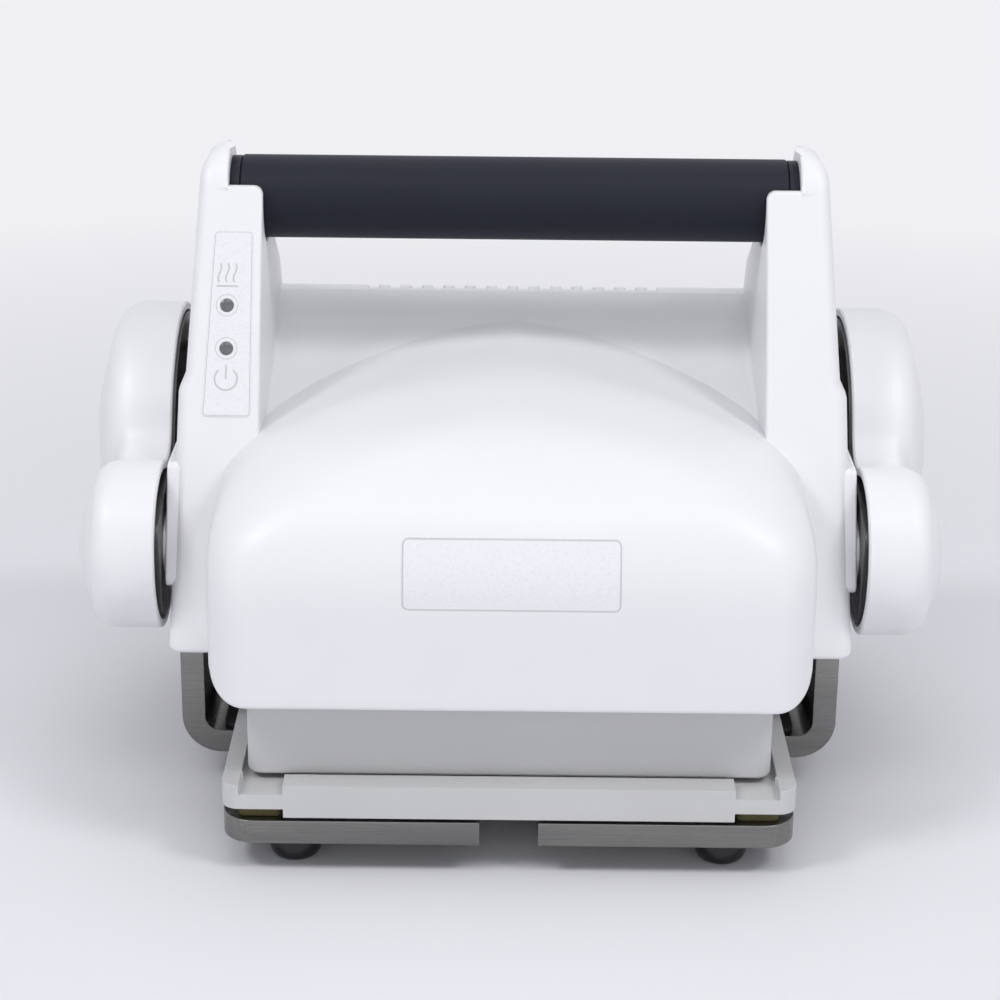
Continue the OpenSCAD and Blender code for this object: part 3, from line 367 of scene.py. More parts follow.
def roundCorner(before, corner, after, radius, count=8):
    # the corner of a polyline replaced by a tangent arc
    corner = np.array(corner, float)
    toBefore = np.array(before, float) - corner
    toAfter = np.array(after, float) - corner
    toBefore /= np.linalg.norm(toBefore)
    toAfter /= np.linalg.norm(toAfter)
    half = np.arccos(np.clip(toBefore @ toAfter, -1, 1)) / 2
    reach = radius / np.tan(half)
    middle = (toBefore + toAfter) / np.linalg.norm(toBefore + toAfter)
    centre = corner + middle * radius / np.sin(half)
    first = corner + toBefore * reach - centre
    last = corner + toAfter * reach - centre
    angleA = np.arctan2(first[1], first[0])
    angleB = np.arctan2(last[1], last[0])
    sweep = (angleB - angleA + np.pi) % (2 * np.pi) - np.pi
    angle = angleA + sweep * np.linspace(0, 1, count)
    return centre + radius * unitCircle(angle)


def roundedOutline(corners, radii, count=8):
    # a closed outline whose corners are arcs; a radius of 0 keeps the corner
    parts = []
    for i, corner in enumerate(corners):
        if radii[i] == 0:
            parts.append(np.array([corner], float))
        else:
            after = corners[(i + 1) % len(corners)]
            parts.append(roundCorner(corners[i - 1], corner, after, radii[i], count))
    return np.concatenate(parts)


def outwardNormals(outline):
    # unit normals of a closed outline, away from its inside
    ahead = np.roll(outline, -1, 0) - outline
    behind = outline - np.roll(outline, 1, 0)
    ahead /= np.maximum(np.linalg.norm(ahead, axis=1, keepdims=True), 1e-9)
    behind /= np.maximum(np.linalg.norm(behind, axis=1, keepdims=True), 1e-9)
    along = ahead + behind
    along /= np.maximum(np.linalg.norm(along, axis=1, keepdims=True), 1e-9)
    normal = np.stack([along[:, 1], -along[:, 0]], -1)
    nextPoint = np.roll(outline, -1, 0)
    area = np.sum(outline[:, 0] * nextPoint[:, 1] - outline[:, 1] * nextPoint[:, 0])
    bend = np.maximum(np.sum(normal * np.stack([ahead[:, 1], -ahead[:, 0]], -1), 1), 0.5)
    return normal * np.sign(area) / bend[:, None]


def roundedSlab(outline, x0, x1, round0, round1, steps=5):
    # an outline in the (depth, height) plane carried along X, with quarter-round edges at both ends
    normal = outwardNormals(outline)
    angle = np.radians(np.linspace(0, 90, steps + 1))
    rows = [(x0 + round0 * (1 - np.cos(a)), round0 * (1 - np.sin(a))) for a in angle]
    rows += [(x1 - round1 * (1 - np.cos(a)), round1 * (1 - np.sin(a))) for a in angle[::-1]]
    points = np.zeros((len(outline), len(rows), 3))
    for j, (x, inset) in enumerate(rows):
        points[:, j, 0] = x
        points[:, j, 1:] = outline - normal * inset
    return points, True, False, ("startV", "endV")


def revolve(profile, centre, side, count=96):
    # a profile of (radius, x) turned about an axis along X
    angle = np.linspace(0, 2 * np.pi, count, endpoint=False)
    points = np.zeros((count, len(profile), 3))
    points[:, :, 0] = side * profile[None, :, 1]
    points[:, :, 1] = centre[0] + np.cos(angle)[:, None] * profile[None, :, 0]
    points[:, :, 2] = centre[1] + np.sin(angle)[:, None] * profile[None, :, 0]
    return points, True, False, ()


def mirrored(grid):
    # the same grid on the other side: X changes its sign
    points = grid[0].copy()
    points[..., 0] *= -1
    return (points, *grid[1:])


# Head moulding: housing, arms with ears, middle and side walls
housing = {"half": 71.5, "low": 43, "curveZ": 66, "ridge": 107.3, "curveDepth": 70, "springZ": 75,
           "power": 2.5, "flare": 2, "back": 112, "wall": 2.5, "lowCorner": 8, "rim": 1.2,
           "crownZ": (86, 94, 97.5, 100.6, 103.2, 105.6, 107.3), "crownHalf": (70, 58.5, 49.5, 39, 28, 16, 0),
           "crownStart": 34, "crownRun": 42}


def drawIn(t, power):
    # 0 at the start, 1 at the end, along a superellipse
    t = np.clip(t, 0, 1)
    return 1 - (1 - t ** power) ** (1 / power)


def housingFront(z):
    # depth of the front at a height: none below the curve, then a superellipse back to the ridge
    h = housing
    return h["curveDepth"] * drawIn((z - h["curveZ"]) / (h["ridge"] - h["curveZ"]), h["power"])


def housingHalf(z):
    # half width at a height: full below the spring, then a superellipse in to the ridge
    h = housing
    return h["half"] * (1 - drawIn((z - h["springZ"]) / (h["ridge"] - h["springZ"]), h["power"]))


def crownScale(z, y):
    # further back the crown is narrower than the superellipse and rises to a peak
    h = housing
    half = np.maximum(housingHalf(z), 1e-6)
    narrow = np.minimum(np.interp(z, h["crownZ"], h["crownHalf"]) / half, 1)
    back = np.clip((y - h["crownStart"]) / h["crownRun"], 0, 1)
    return 1 - (1 - narrow) * back * back * (3 - 2 * back)


def housingOutline(half, front, corner):
    # outlines seen from above, one per row: side, round corner, front, round corner, side
    side = np.linspace(0, 1, 26)[None, :]
    turn = np.radians(np.linspace(0, 90, 18))[None, :]
    across = np.linspace(-1, 1, 61)[None, :]
    half, front, corner = half[:, None], front[:, None], corner[:, None]
    back = housing["back"]
    sideX = -half + 0 * side
    sideY = back + (front + corner - back) * side
    cornerX = -half + corner * (1 - np.cos(turn))
    cornerY = front + corner * (1 - np.sin(turn))
    frontX = (half - corner) * across
    frontY0 = front + 0 * across
    partsX = [sideX, cornerX[:, 1:], frontX[:, 1:-1], -cornerX[:, ::-1][:, :-1], -sideX[:, ::-1]]
    partsY = [sideY, cornerY[:, 1:], frontY0[:, 1:-1], cornerY[:, ::-1][:, :-1], sideY[:, ::-1]]
    x, y = np.concatenate(partsX, 1), np.concatenate(partsY, 1)
    x = x + np.sign(x) * housing["flare"] * np.clip(y / 60, 0, 1) * np.minimum(1, half / 20)
    return x, y


def housingGrid():
    # rows from the ridge down the outside, round the lower rim and up the inside
    h = housing
    t = np.radians(np.linspace(90, 0, 44))
    upper = h["springZ"] + (h["ridge"] - h["springZ"]) * np.sin(t) ** (2 / h["power"])
    lower = np.linspace(h["springZ"], h["low"] + h["rim"], 22)[1:]
    z = np.concatenate([upper, lower])
    half, front = housingHalf(z), housingFront(z)
    rise = np.clip((z - h["curveZ"]) / (h["ridge"] - h["curveZ"]), 0, 1)
    corner = np.minimum(0.98 * half, 10 + 28 * rise ** 2)
    outX, outY = housingOutline(half, front, corner)
    outX = outX * crownScale(z[:, None], outY)
    outZ = np.repeat(z[:, None], outX.shape[1], 1)
    scale = 1 - h["wall"] / h["half"]
    zIn = np.where(z > h["curveZ"], h["curveZ"] + (z - h["curveZ"]) * (1 - h["wall"] / 40), z)
    inX, inY = housingOutline(half * scale, front * scale + h["wall"], np.maximum(corner - h["wall"], 0.3))
    inX = inX * crownScale(z[:, None], inY)
    inZ = np.repeat(zIn[:, None], inX.shape[1], 1)
    turn = np.radians(np.linspace(0, 180, 9))[1:-1][:, None]
    rimX = outX[-1] + (inX[-1] - outX[-1]) * (1 - np.cos(turn)) / 2
    rimY = outY[-1] + (inY[-1] - outY[-1]) * (1 - np.cos(turn)) / 2
    rimZ = h["low"] + h["rim"] * (1 - np.sin(turn)) + 0 * rimX
    x = np.concatenate([outX, rimX, inX[::-1]])
    y = np.concatenate([outY, rimY, inY[::-1]])
    z = np.concatenate([outZ, rimZ, inZ[::-1]])
    # the lower corners are round, seen from the front
    reach = np.clip(np.abs(x) - (h["half"] - h["lowCorner"]), 0, h["lowCorner"] * 0.995)
    lift = h["lowCorner"] - np.sqrt(h["lowCorner"] ** 2 - reach ** 2)
    lift = lift * np.clip((40 - y) / 12, 0, 1)
    z = z + lift * np.clip((60 - z) / (60 - h["low"]), 0, 1)
    points = np.stack([x, y, z], -1).transpose(1, 0, 2)
    return points, False, False, ("startU", "endU")


arm = {"foot": 43.8, "frontZ": 45.5, "footDepth": 31.5, "lean": 23.4, "footRound": 1.4, "edge": 3.2,
       "innerX": 62.9, "earX": 71.57, "step": 103, "stepHeight": 4, "legClear": 2, "legTop": 30,
       "ledgeRound": 0.8, "waist": 130, "earRadius": 14, "earRound": 7.5, "earEdge": 1.1, "shelf": 150.8,
       "recess": 11.3, "joinZ": 78, "innerEdge": 0.8, "shelfRound": 2.4}
overRadius = arm["legTop"] + arm["legClear"]


def armFront(z):
    # depth of the arm's front at a height, on a straight line that leans back
    return arm["footDepth"] + (z - arm["frontZ"]) * np.tan(np.radians(arm["lean"]))


def armOut(z):
    # the outside draws in with height and has a small soft step
    up = z - arm["step"]
    soft = softStep(np.clip(up / arm["stepHeight"], 0, 1))
    below = legX + 0.4 - 1.2 * np.clip((z - arm["foot"]) / (arm["step"] - arm["foot"]), 0, 1)
    above = 3 * np.clip(up - arm["stepHeight"], 0, 60) / 50
    return below - 1.7 * soft - above


legCorner = np.array([pin[0], 41.0])
toPivot = pivot - legCorner
legAngle = np.arctan2(toPivot[1], toPivot[0]) + np.arcsin(arm["legTop"] / np.linalg.norm(toPivot))


def armBack(z):
    # keeps clear of the upright below, reaches back over it above, then narrows to the ear
    rise = z - pivot[1]
    line = legCorner[0] + (z - legCorner[1]) / np.tan(legAngle) - arm["legClear"] / np.sin(legAngle)
    circle = pivot[0] - np.sqrt(np.maximum(overRadius ** 2 - rise ** 2, 0))
    spread = gripAxis[0] + 19 + (arm["waist"] - z) * 0.86
    neck = gripAxis[0] + 14 + (gripAxis[1] - z) * 0.3165
    back = np.where(rise < overRadius * np.sin(legAngle + np.pi / 2), line, circle)
    back = np.where(z > pivot[1] + overRadius, spread, back)
    return np.where(z > arm["waist"], neck, back)


def earFront(z):
    # the arm's front line runs on until it touches a round about the grip's axis, then follows that
    lean = np.radians(arm["lean"])
    touch = (gripAxis[0] - armFront(gripAxis[1])) * np.cos(lean)
    angle = np.linspace(np.pi - lean, np.pi / 2, 60)
    share = (np.pi - lean - angle) / (np.pi / 2 - lean)
    radius = touch + (arm["earRadius"] - touch) * share ** 2 * (3 - 2 * share)
    y = gripAxis[0] + radius * np.cos(angle)
    rounded = np.interp(z, gripAxis[1] + radius * np.sin(angle), y)
    return np.where(z < gripAxis[1] + touch * np.sin(lean), armFront(z), rounded)


def roundInset(height, radius):
    # how far a quarter round stands in at a height above its start: radius (1 - sin of its angle)
    return radius * (1 - np.sin(np.arccos(np.clip(1 - height / radius, 0, 1))))


def armGrid():
    # outer part of an arm with its ear: horizontal sections with round corners, stacked upwards
    top = gripAxis[1] + arm["earRadius"]
    over = pivot[1] + overRadius
    quarter = np.radians(np.linspace(0, 90, 6))
    footZ = arm["foot"] + arm["footRound"] * (1 - np.cos(quarter))
    lower = np.linspace(footZ[-1], over - 0.4, 52)[1:]
    ledge = over + arm["ledgeRound"] * (1 - np.cos(quarter))
    upper = np.linspace(over + 1.2, gripAxis[1], 34)
    crown = gripAxis[1] + arm["earRadius"] * np.sin(np.radians(np.linspace(0, 90, 26)))[1:]
    z = np.concatenate([footZ, lower, ledge, upper, crown])
    inset = roundInset(z - arm["foot"], arm["footRound"])
    ledgeInset = roundInset(z - over, arm["ledgeRound"]) * (z >= over)
    chord = np.sqrt(np.maximum(arm["earRadius"] ** 2 - np.maximum(z - gripAxis[1], 0) ** 2, 0))
    y0 = earFront(z) + inset
    y1 = np.minimum(np.where(z == over, armBack(z + 0.01), armBack(z)) - inset - ledgeInset,
                    np.where(z > gripAxis[1], gripAxis[0] + chord, 999))
    roundTop = np.clip(z - (top - arm["earRound"]), 0, arm["earRound"])
    x1 = armOut(z) - inset - (arm["earRound"] - np.sqrt(arm["earRound"] ** 2 - roundTop ** 2))
    width = np.maximum(y1 - y0, 1e-3)
    frontRound = np.minimum(arm["edge"], width * 0.45)
    backRound = np.minimum(2.2, width * 0.45)
    # the inner edge is plain where the inner part joins on, and round beside the grip
    innerRound = np.minimum(arm["earEdge"] * np.clip((z - arm["shelf"]) / 1.5, 0, 1), width * 0.3)
    turn = np.radians(np.linspace(0, 90, 9))[None, :]
    x0 = arm["earX"]
    x1, y0, y1 = x1[:, None], y0[:, None], y1[:, None]
    fr, br, ir = frontRound[:, None], backRound[:, None], innerRound[:, None]
    x = np.concatenate([x0 + ir * (1 - np.cos(turn)), x1 - fr * (1 - np.sin(turn)),
                        x1 - br * (1 - np.cos(turn)), x0 + ir * (1 - np.sin(turn))], 1)
    y = np.concatenate([y0 + ir * (1 - np.sin(turn)), y0 + fr * (1 - np.cos(turn)),
                        y1 - br * (1 - np.sin(turn)), y1 - ir * (1 - np.cos(turn))], 1)
    points = np.stack([x, y, np.repeat(z[:, None], x.shape[1], 1)], -1).transpose(1, 0, 2)
    return points, True, False, ("startV", "endV")


def armInnerSlab():
    # inner part of an arm, in front of and below the grip, with the shelf and the grip's recess
    g, a = gripAxis, arm
    shelfY = g[0] - np.sqrt(a["recess"] ** 2 - (a["shelf"] - g[1]) ** 2)
    start = np.degrees(np.arctan2(a["shelf"] - g[1], shelfY - g[0])) % 360
    recess = arc(g, a["recess"], start, 314, 40)
    line = np.linspace(a["joinZ"], a["shelf"] - 1, 60)
    lip = roundCorner([armFront(line[-1]), line[-1]], [armFront(a["shelf"]), a["shelf"]], recess[0], 0.6, 5)
    front = np.concatenate([np.stack([armFront(line), line], -1), lip])
    over = pivot[1] + overRadius
    foot = [g[0] + 39.2, over - 0.2]
    back = roundCorner(recess[-1], g + [33, -24.3], foot, 14, 12)
    rest = np.array([foot, [pivot[0] + 14, 100], [64, a["joinZ"]]])
    outline = np.concatenate([front, recess, back, rest])
    points, wrapU, wrapV, caps = roundedSlab(outline, a["innerX"], a["earX"], a["innerEdge"], 0)
    # more columns beside the inner end, where the shelf's corner is round as seen from the front
    columns = np.repeat(points[:, 5:6], 6, 1)
    columns[..., 0] = a["innerX"] + np.linspace(1.1, a["shelfRound"], 6)
    points = np.concatenate([points[:, :6], columns, points[:, 6:]], 1)
    inward = np.clip(a["shelfRound"] - (points[..., 0] - a["innerX"]), 0, a["shelfRound"] * 0.98)
    drop = a["shelfRound"] - np.sqrt(a["shelfRound"] ** 2 - inward ** 2)
    points[..., 2] = np.minimum(points[..., 2], a["shelf"] - drop)
    return points, wrapU, wrapV, caps


middle = {"slope": 0.37, "creaseY": 112, "creaseZ": 107.4, "crestRun": 6.5, "crestRise": 5.6,
          "crestAngle": 62, "barrel": 41, "flat": 2, "half": 77, "wall": 2.5,
          "floor": 46.2, "creaseRound": 1.3,
          "filletLow": 0.5, "filletHigh": 2.8, "filletStart": 73}
seamY = middle["creaseY"] + middle["crestRun"]
crestZ = middle["creaseZ"] + middle["crestRise"]
rearFaceY = pivot[0] + middle["barrel"] - middle["flat"]
stripHalf = middle["half"] - middle["wall"] - 0.1


def roofStrip():
    # sloping roof, crease and step up to the crest, as a plate of even thickness
    m = middle
    roofStart = np.array([50.0, m["creaseZ"] - (m["creaseY"] - 50) * m["slope"]])
    crease = roundCorner(roofStart, (m["creaseY"], m["creaseZ"]), (seamY, crestZ), m["creaseRound"], 10)
    crest = roundCorner((m["creaseY"], m["creaseZ"]), (seamY - 0.6, crestZ),
                        (seamY + 5, crestZ + 0.6), 1.2, 8)
    top = np.concatenate([[roofStart], crease, crest[:6], [[seamY, crestZ - 0.05]]])
    under = np.array([[seamY, crestZ - 3.2], [m["creaseY"] + 1, m["creaseZ"] - 3], [50, roofStart[1] - 3]])
    return roundedSlab(np.concatenate([top, under]), -stripHalf - 1, stripHalf + 1, 0.1, 0.1, 1)


def armFillet():
    # hollow fillet between an arm's inside and the roof, growing towards the crest: along the
    # roof's line, a quarter circle tangent to the roof and to the arm
    m = middle
    ahead = np.linspace(m["filletStart"], m["creaseY"] - 2.5, 24)
    line = np.stack([ahead, m["creaseZ"] - (m["creaseY"] - ahead) * m["slope"]], -1)
    corner = roundCorner(line[0], (m["creaseY"], m["creaseZ"]), (seamY, crestZ), 3.0, 8)
    step = np.linspace(corner[-1], [seamY - 0.3, crestZ - 0.2], 6)[1:]
    line = np.concatenate([line, corner, step])
    along = np.gradient(line, axis=0)
    along /= np.linalg.norm(along, axis=1, keepdims=True)
    up = np.stack([-along[:, 1], along[:, 0]], -1)
    grow = np.clip((line[:, 0] - m["filletStart"]) / (m["creaseY"] - m["filletStart"]), 0, 1)
    radius = (m["filletLow"] + (m["filletHigh"] - m["filletLow"]) * grow)[:, None]
    turn = np.radians(np.linspace(-90, 0, 9))[None, :]
    side = np.hstack([-radius, -radius + radius * np.cos(turn), 0.4 + 0 * radius, 0.4 + 0 * radius])
    height = np.hstack([0 * radius - 0.5, radius + radius * np.sin(turn), radius, 0 * radius - 0.5])
    points = np.zeros((len(line), side.shape[1], 3))
    points[..., 0] = arm["innerX"] + side
    points[..., 1:] = line[:, None] + up[:, None] * height[..., None]
    return points, False, True, ("startU", "endU")


def sideWall():
    # wall between the uprights that closes the end of the round back
    m = middle
    flatAngle = np.degrees(np.arccos((m["barrel"] - m["flat"]) / m["barrel"]))
    roofStart = [50.0, m["creaseZ"] - (m["creaseY"] - 50) * m["slope"]]
    crease = roundCorner(roofStart, (m["creaseY"], m["creaseZ"]), (seamY, crestZ), m["creaseRound"], 6)
    upper = arc(pivot, m["barrel"], m["crestAngle"], flatAngle, 20)
    lower = arc(pivot, m["barrel"], -flatAngle, -44, 14)
    front = [[armFront(50.0) + 3, 46.5], [52, 80]]
    outline = np.concatenate([front, [roofStart], crease, [[seamY, crestZ]], upper, lower,
                              [[pivot[0] - 8, pivot[1] - 31.6]]])
    return roundedSlab(outline, m["half"] - m["wall"], m["half"], 0.1, 0.9)


pad = {"low": pin[1] - 7.3, "high": pin[1] + 21.3, "back": 0.7, "endY": pin[0] + 20.5, "corner": 2.0,
       "outX": 85.6, "thick": 3.0}


def headPads():
    # raised pad that takes the platen pin: its front runs along the arm's, its underside is flat
    p = pad
    front = [[armFront(p["low"]) + p["back"], p["low"]], [armFront(p["high"]) + p["back"], p["high"]]]
    whole = roundedOutline(front + [[p["endY"], p["high"]], [p["endY"], p["low"]]], [p["corner"]] * 4)
    inFront = roundedOutline(front + [[armBack(p["high"]), p["high"]], [armBack(p["low"]), p["low"]]],
                             [p["corner"], p["corner"], 0, 0])
    return [roundedSlab(whole, legX + 0.35, p["outX"], 0.1, 0.5),
            roundedSlab(inFront, p["outX"] - p["thick"], legX + 0.6, 0.1, 0.1, 1)]


rightSide = [armGrid(), armInnerSlab(), armFillet(), sideWall(), *headPads()]
leftSide = [mirrored(g) for g in rightSide]
headMoulding = makePiece("headMoulding", [housingGrid(), roofStrip(), *rightSide, *leftSide],
                         "head_white", "head", ("head_cover",), sharp=30)
print("head moulding:", len(headMoulding.data.polygons), "faces")

# Rear cover: a curved strip with vent slots and cut-outs, given its wall by a modifier
vents = {"count": 14, "pitch": 5.8, "width": 2.8, "startY": 120.5, "endY": 127}
cutOuts = {"inletX": 34, "inletHalf": 13.7, "switchX": 2, "switchHalf": 6.6, "halfHeight": 10}


def rearCoverPiece():
    # a profile of crest, round back, flat and floor carried along X, without the faces that lie
    # in a vent or a cut-out
    m = middle
    flatAngle = np.degrees(np.arccos((m["barrel"] - m["flat"]) / m["barrel"]))
    floorAngle = -np.degrees(np.arcsin((pivot[1] - m["floor"]) / m["barrel"]))
    crestEnd = arc(pivot, m["barrel"], m["crestAngle"], m["crestAngle"], 1)[0]
    crest = np.linspace([seamY + 0.1, crestZ], crestEnd, 14)[:-1]
    startY = vents["startY"]
    startZ = np.interp(startY, [seamY + 0.1, crestEnd[0]], [crestZ, crestEnd[1]])
    before, after = crest[crest[:, 0] < startY - 0.3], crest[crest[:, 0] > startY + 0.3]
    crest = np.concatenate([before, [[startY, startZ]], after])
    ventAngle = np.degrees(np.arccos((vents["endY"] - pivot[0]) / m["barrel"]))
    upper = np.concatenate([arc(pivot, m["barrel"], m["crestAngle"], ventAngle, 5)[:-1],
                            arc(pivot, m["barrel"], ventAngle, flatAngle, 22)])
    c = cutOuts
    flatZ = np.linspace(pivot[1] + c["halfHeight"], pivot[1] - c["halfHeight"], 9)
    flat = np.column_stack([np.full(9, rearFaceY), flatZ])
    lower = arc(pivot, m["barrel"], -flatAngle, floorAngle, 22)
    floorLine = np.linspace([lower[-1][0] - 1.5, m["floor"]], [pivot[0] - 7.5, m["floor"]], 12)
    profile = np.concatenate([crest, upper, flat, lower, floorLine])
    edges = [-stripHalf, stripHalf, c["inletX"] - c["inletHalf"], c["inletX"] + c["inletHalf"],
             c["switchX"] - c["switchHalf"], c["switchX"] + c["switchHalf"]]
    for i in range(vents["count"]):
        centre = (i - (vents["count"] - 1) / 2) * vents["pitch"]
        edges += [centre - vents["width"] / 2, centre + vents["width"] / 2]
    xs = np.unique(np.round(np.concatenate([edges, np.linspace(-stripHalf, stripHalf, 31)]), 3))
    points = np.zeros((len(xs), len(profile), 3))
    points[:, :, 0] = xs[:, None]
    points[:, :, 1:] = profile[None]
    midX = (xs[1:] + xs[:-1])[:, None] / 2
    midP = (profile[1:] + profile[:-1])[None] / 2
    nearest = (midX / vents["pitch"] + (vents["count"] - 1) / 2 + 0.5) % 1 - 0.5
    midY, midZ = midP[..., 0], midP[..., 1]
    inVent = np.abs(nearest) * vents["pitch"] < vents["width"] / 2
    inVent = inVent & (np.abs(midX) < vents["count"] * vents["pitch"] / 2)
    inVent = inVent & (midY > vents["startY"]) & (midY < vents["endY"]) & (midZ > pivot[1] + 20)
    onFlat = np.abs(midZ - pivot[1]) < c["halfHeight"]
    inInlet = np.abs(midX - c["inletX"]) < c["inletHalf"]
    inSwitch = np.abs(midX - c["switchX"]) < c["switchHalf"]
    keep = ~(inVent | (onFlat & (inInlet | inSwitch)))
    grid = (points, False, False, ())
    piece = makePiece("rearCover", [grid], "head_white", "head", ("rear_cover",), 30, keep)
    wall = piece.modifiers.new("wall", "SOLIDIFY")
    wall.thickness = m["wall"] * mm
    wall.offset = -1
    return piece


rearCoverPiece()
print("rear cover made")

# Side covers: two round drums with a fine step and a shallow dome, joined by a waist
cover = {"openX": 87.0, "wall": 2.2, "height": 23.2, "step": 2.3}
bigDrum = {"radius": 35, "wallTop": 10.0, "ring": 27.0, "dome": 5.0}
smallDrum = {"radius": 21, "wallTop": 10.5, "ring": 16.7, "dome": 4.6}
neck = {"half": 15.8, "endTurn": 0.8}
filletSteps = 9


def drumProfile(drum, height, inset):
    # straight wall, round shoulder, a fine step at the ring, then the dome
    turn = np.radians(np.linspace(0, 90, 16))
    rise = height - drum["dome"] - drum["wallTop"]
    shoulder = np.stack([drum["ring"] + (drum["radius"] - drum["ring"]) * np.cos(turn) - inset * np.cos(turn),
                         drum["wallTop"] + rise * np.sin(turn) - inset * np.sin(turn)], -1)
    t = np.linspace(0.02, 1, 16)
    dome = np.stack([drum["ring"] * (1 - t), height - inset - drum["dome"] * (1 - t) ** 2], -1)
    if inset == 0:
        low = height - drum["dome"] - 0.35
        step = np.array([[drum["ring"] - 0.05, low], [drum["ring"] - 0.45, low]])
        dome = np.concatenate([step, dome[1:]])
    rim = [[drum["radius"] - inset - (0.4 if inset == 0 else -0.2), 0], [drum["radius"] - inset, 0.4]]
    return np.concatenate([rim, shoulder, dome])


def neckOutline(big, small, neckHalf, open1, open2):
    # outline of two rounds joined by two hollow fillets: (along, across) points from the pin
    # towards the pivot, with the share of the rear round in each point's height. The fillet's
    # radius r comes from the half width of the neck: (a0 - b0 r)^2 + (neckHalf + r)^2 = (small + r)^2
    between = np.linalg.norm(pivot - pin)
    a0 = (between ** 2 - big ** 2 + small ** 2) / (2 * between)
    b0 = (big - small) / between
    if neckHalf > 0:
        square, linear = b0 ** 2, -2 * a0 * b0 + 2 * (neckHalf - small)
        plain = a0 ** 2 + neckHalf ** 2 - small ** 2
        r = (-linear - np.sqrt(linear ** 2 - 4 * square * plain)) / (2 * square)
        centre = np.array([a0 - b0 * r, neckHalf + r])
        open1 = np.arctan2(centre[1], centre[0] - between)
        open2 = np.arctan2(centre[1], centre[0])
        toBig = np.linspace(open1 - np.pi, -np.pi / 2, filletSteps)
        toSmall = np.linspace(-np.pi / 2, open2 - np.pi, filletSteps)
        half1 = centre + r * unitCircle(toBig)
        half2 = centre + r * unitCircle(toSmall)
        share1, share2 = np.linspace(1, 0.5, filletSteps), np.linspace(0.5, 0, filletSteps)
    else:
        round1, round2 = np.linspace(open1, np.pi, filletSteps), np.linspace(0, open2, filletSteps)
        half1 = big * unitCircle(round1) + [between, 0]
        half2 = small * unitCircle(round2)
        share1, share2 = np.ones(filletSteps), np.zeros(filletSteps)
    bigTurn = np.linspace(-open1, open1, 97)[1:-1]
    smallTurn = np.linspace(open2, 2 * np.pi - open2, 65)[1:-1]
    bigArc = big * unitCircle(bigTurn) + [between, 0]
    smallArc = small * unitCircle(smallTurn)
    flip = np.array([1, -1])
    outline = np.concatenate([bigArc, half1, half2, smallArc, half2[::-1] * flip, half1[::-1] * flip])
    share = np.concatenate([np.ones(len(bigArc)), share1, share2,
                            np.zeros(len(smallArc)), share2[::-1], share1[::-1]])
    return outline, share, open1, open2


def coverRows(inset):
    # rows of both drums together, from the open edge to the tops
    bigRow = drumProfile(bigDrum, cover["height"], inset)
    smallRow = drumProfile(smallDrum, cover["height"] - cover["step"], inset)
    domeStart = cover["height"] - bigDrum["dome"]
    rise = np.clip((bigRow[:, 1] - bigDrum["wallTop"]) / (domeStart - bigDrum["wallTop"]), 0, 1)
    level = np.clip(1 - (rise / neck["endTurn"]) ** 2, 0, 1)
    rimIn = (bigDrum["radius"] - inset - bigRow[:, 0]) * (bigRow[:, 1] < 1)
    half = (neck["half"] - inset - rimIn) * np.sqrt(level)
    rows, open1, open2 = [], 2.6, 0.5
    for (r1, h1), (r2, h2), w in zip(bigRow, smallRow, half):
        outline, share, open1, open2 = neckOutline(r1, r2, w, open1, open2)
        rows.append(np.column_stack([h2 + (h1 - h2) * share, outline]))
    return rows, half <= 0


def coverGrid(side):
    # the outside's rows up to the tops and the inside's rows back down, turned onto the line from
    # the pin to the pivot and moved out to the open edge
    outer, outerApart = coverRows(0)
    inner, innerApart = coverRows(cover["wall"])
    rows = np.array(outer + inner[::-1]).transpose(1, 0, 2)
    apart = np.concatenate([outerApart, innerApart[::-1]])
    tilt = np.arctan2(pivot[1] - pin[1], pivot[0] - pin[0])
    points = np.zeros_like(rows)
    points[..., 0] = side * (cover["openX"] + rows[..., 0])
    points[..., 1] = pin[0] + rows[..., 1] * np.cos(tilt) - rows[..., 2] * np.sin(tilt)
    points[..., 2] = pin[1] + rows[..., 1] * np.sin(tilt) + rows[..., 2] * np.cos(tilt)
    keep = np.ones(points.shape[:2], bool)
    keep[:, len(outer) - 1] = False      # the tops of the outside and the inside aren't joined
    for edge in (95 + filletSteps - 1, points.shape[0] - filletSteps - 1):
        keep[edge] &= ~(apart & np.roll(apart, -1))     # nothing between the rounds above the saddle
    return (points, True, True, ()), keep


for sideName, side in (("left", -1), ("right", 1)):
    grid, keep = coverGrid(side)
    makePiece(sideName + "SideCover", [grid], "head_white", "head", (sideName + "_side_cover",), 24, keep)
print("covers made")

# Handle
grip = {"edge": 0.7, "inner": 8.02, "ringDeep": 0.25, "ringEdge": 0.3}


def gripProfile(radius, x0, x1, edge):
    # a sleeve's section: bore, round edge, outside, round edge
    turn = np.radians(np.linspace(0, 90, 7))
    start = np.stack([radius - edge * (1 - np.sin(turn)), x0 + edge * (1 - np.cos(turn))], -1)
    end = np.stack([radius - edge * (1 - np.sin(turn[::-1])), x1 - edge * (1 - np.cos(turn[::-1]))], -1)
    return np.concatenate([[[grip["inner"], x0]], start, end, [[grip["inner"], x1]]])


sleeve = revolve(gripProfile(gripRadius, gripLow[0], gripHigh[0], grip["edge"]), gripAxis, 1, 128)
makePiece("gripSleeve", [(sleeve[0], True, True, ())], "grip_black", "head", ("grip_sleeve",), 50)
ringRadius = gripRadius - grip["ringDeep"]
ringSection = gripProfile(ringRadius, gripHigh[0] + 0.05, arm["earX"] - 0.05, grip["ringEdge"])
ringGrids = [(revolve(ringSection, gripAxis, side, 96)[0], True, True, ()) for side in (-1, 1)]
makePiece("gripRings", ringGrids, "ring_black", "head", ("grip_end_rings",), 50)
print("grip made")

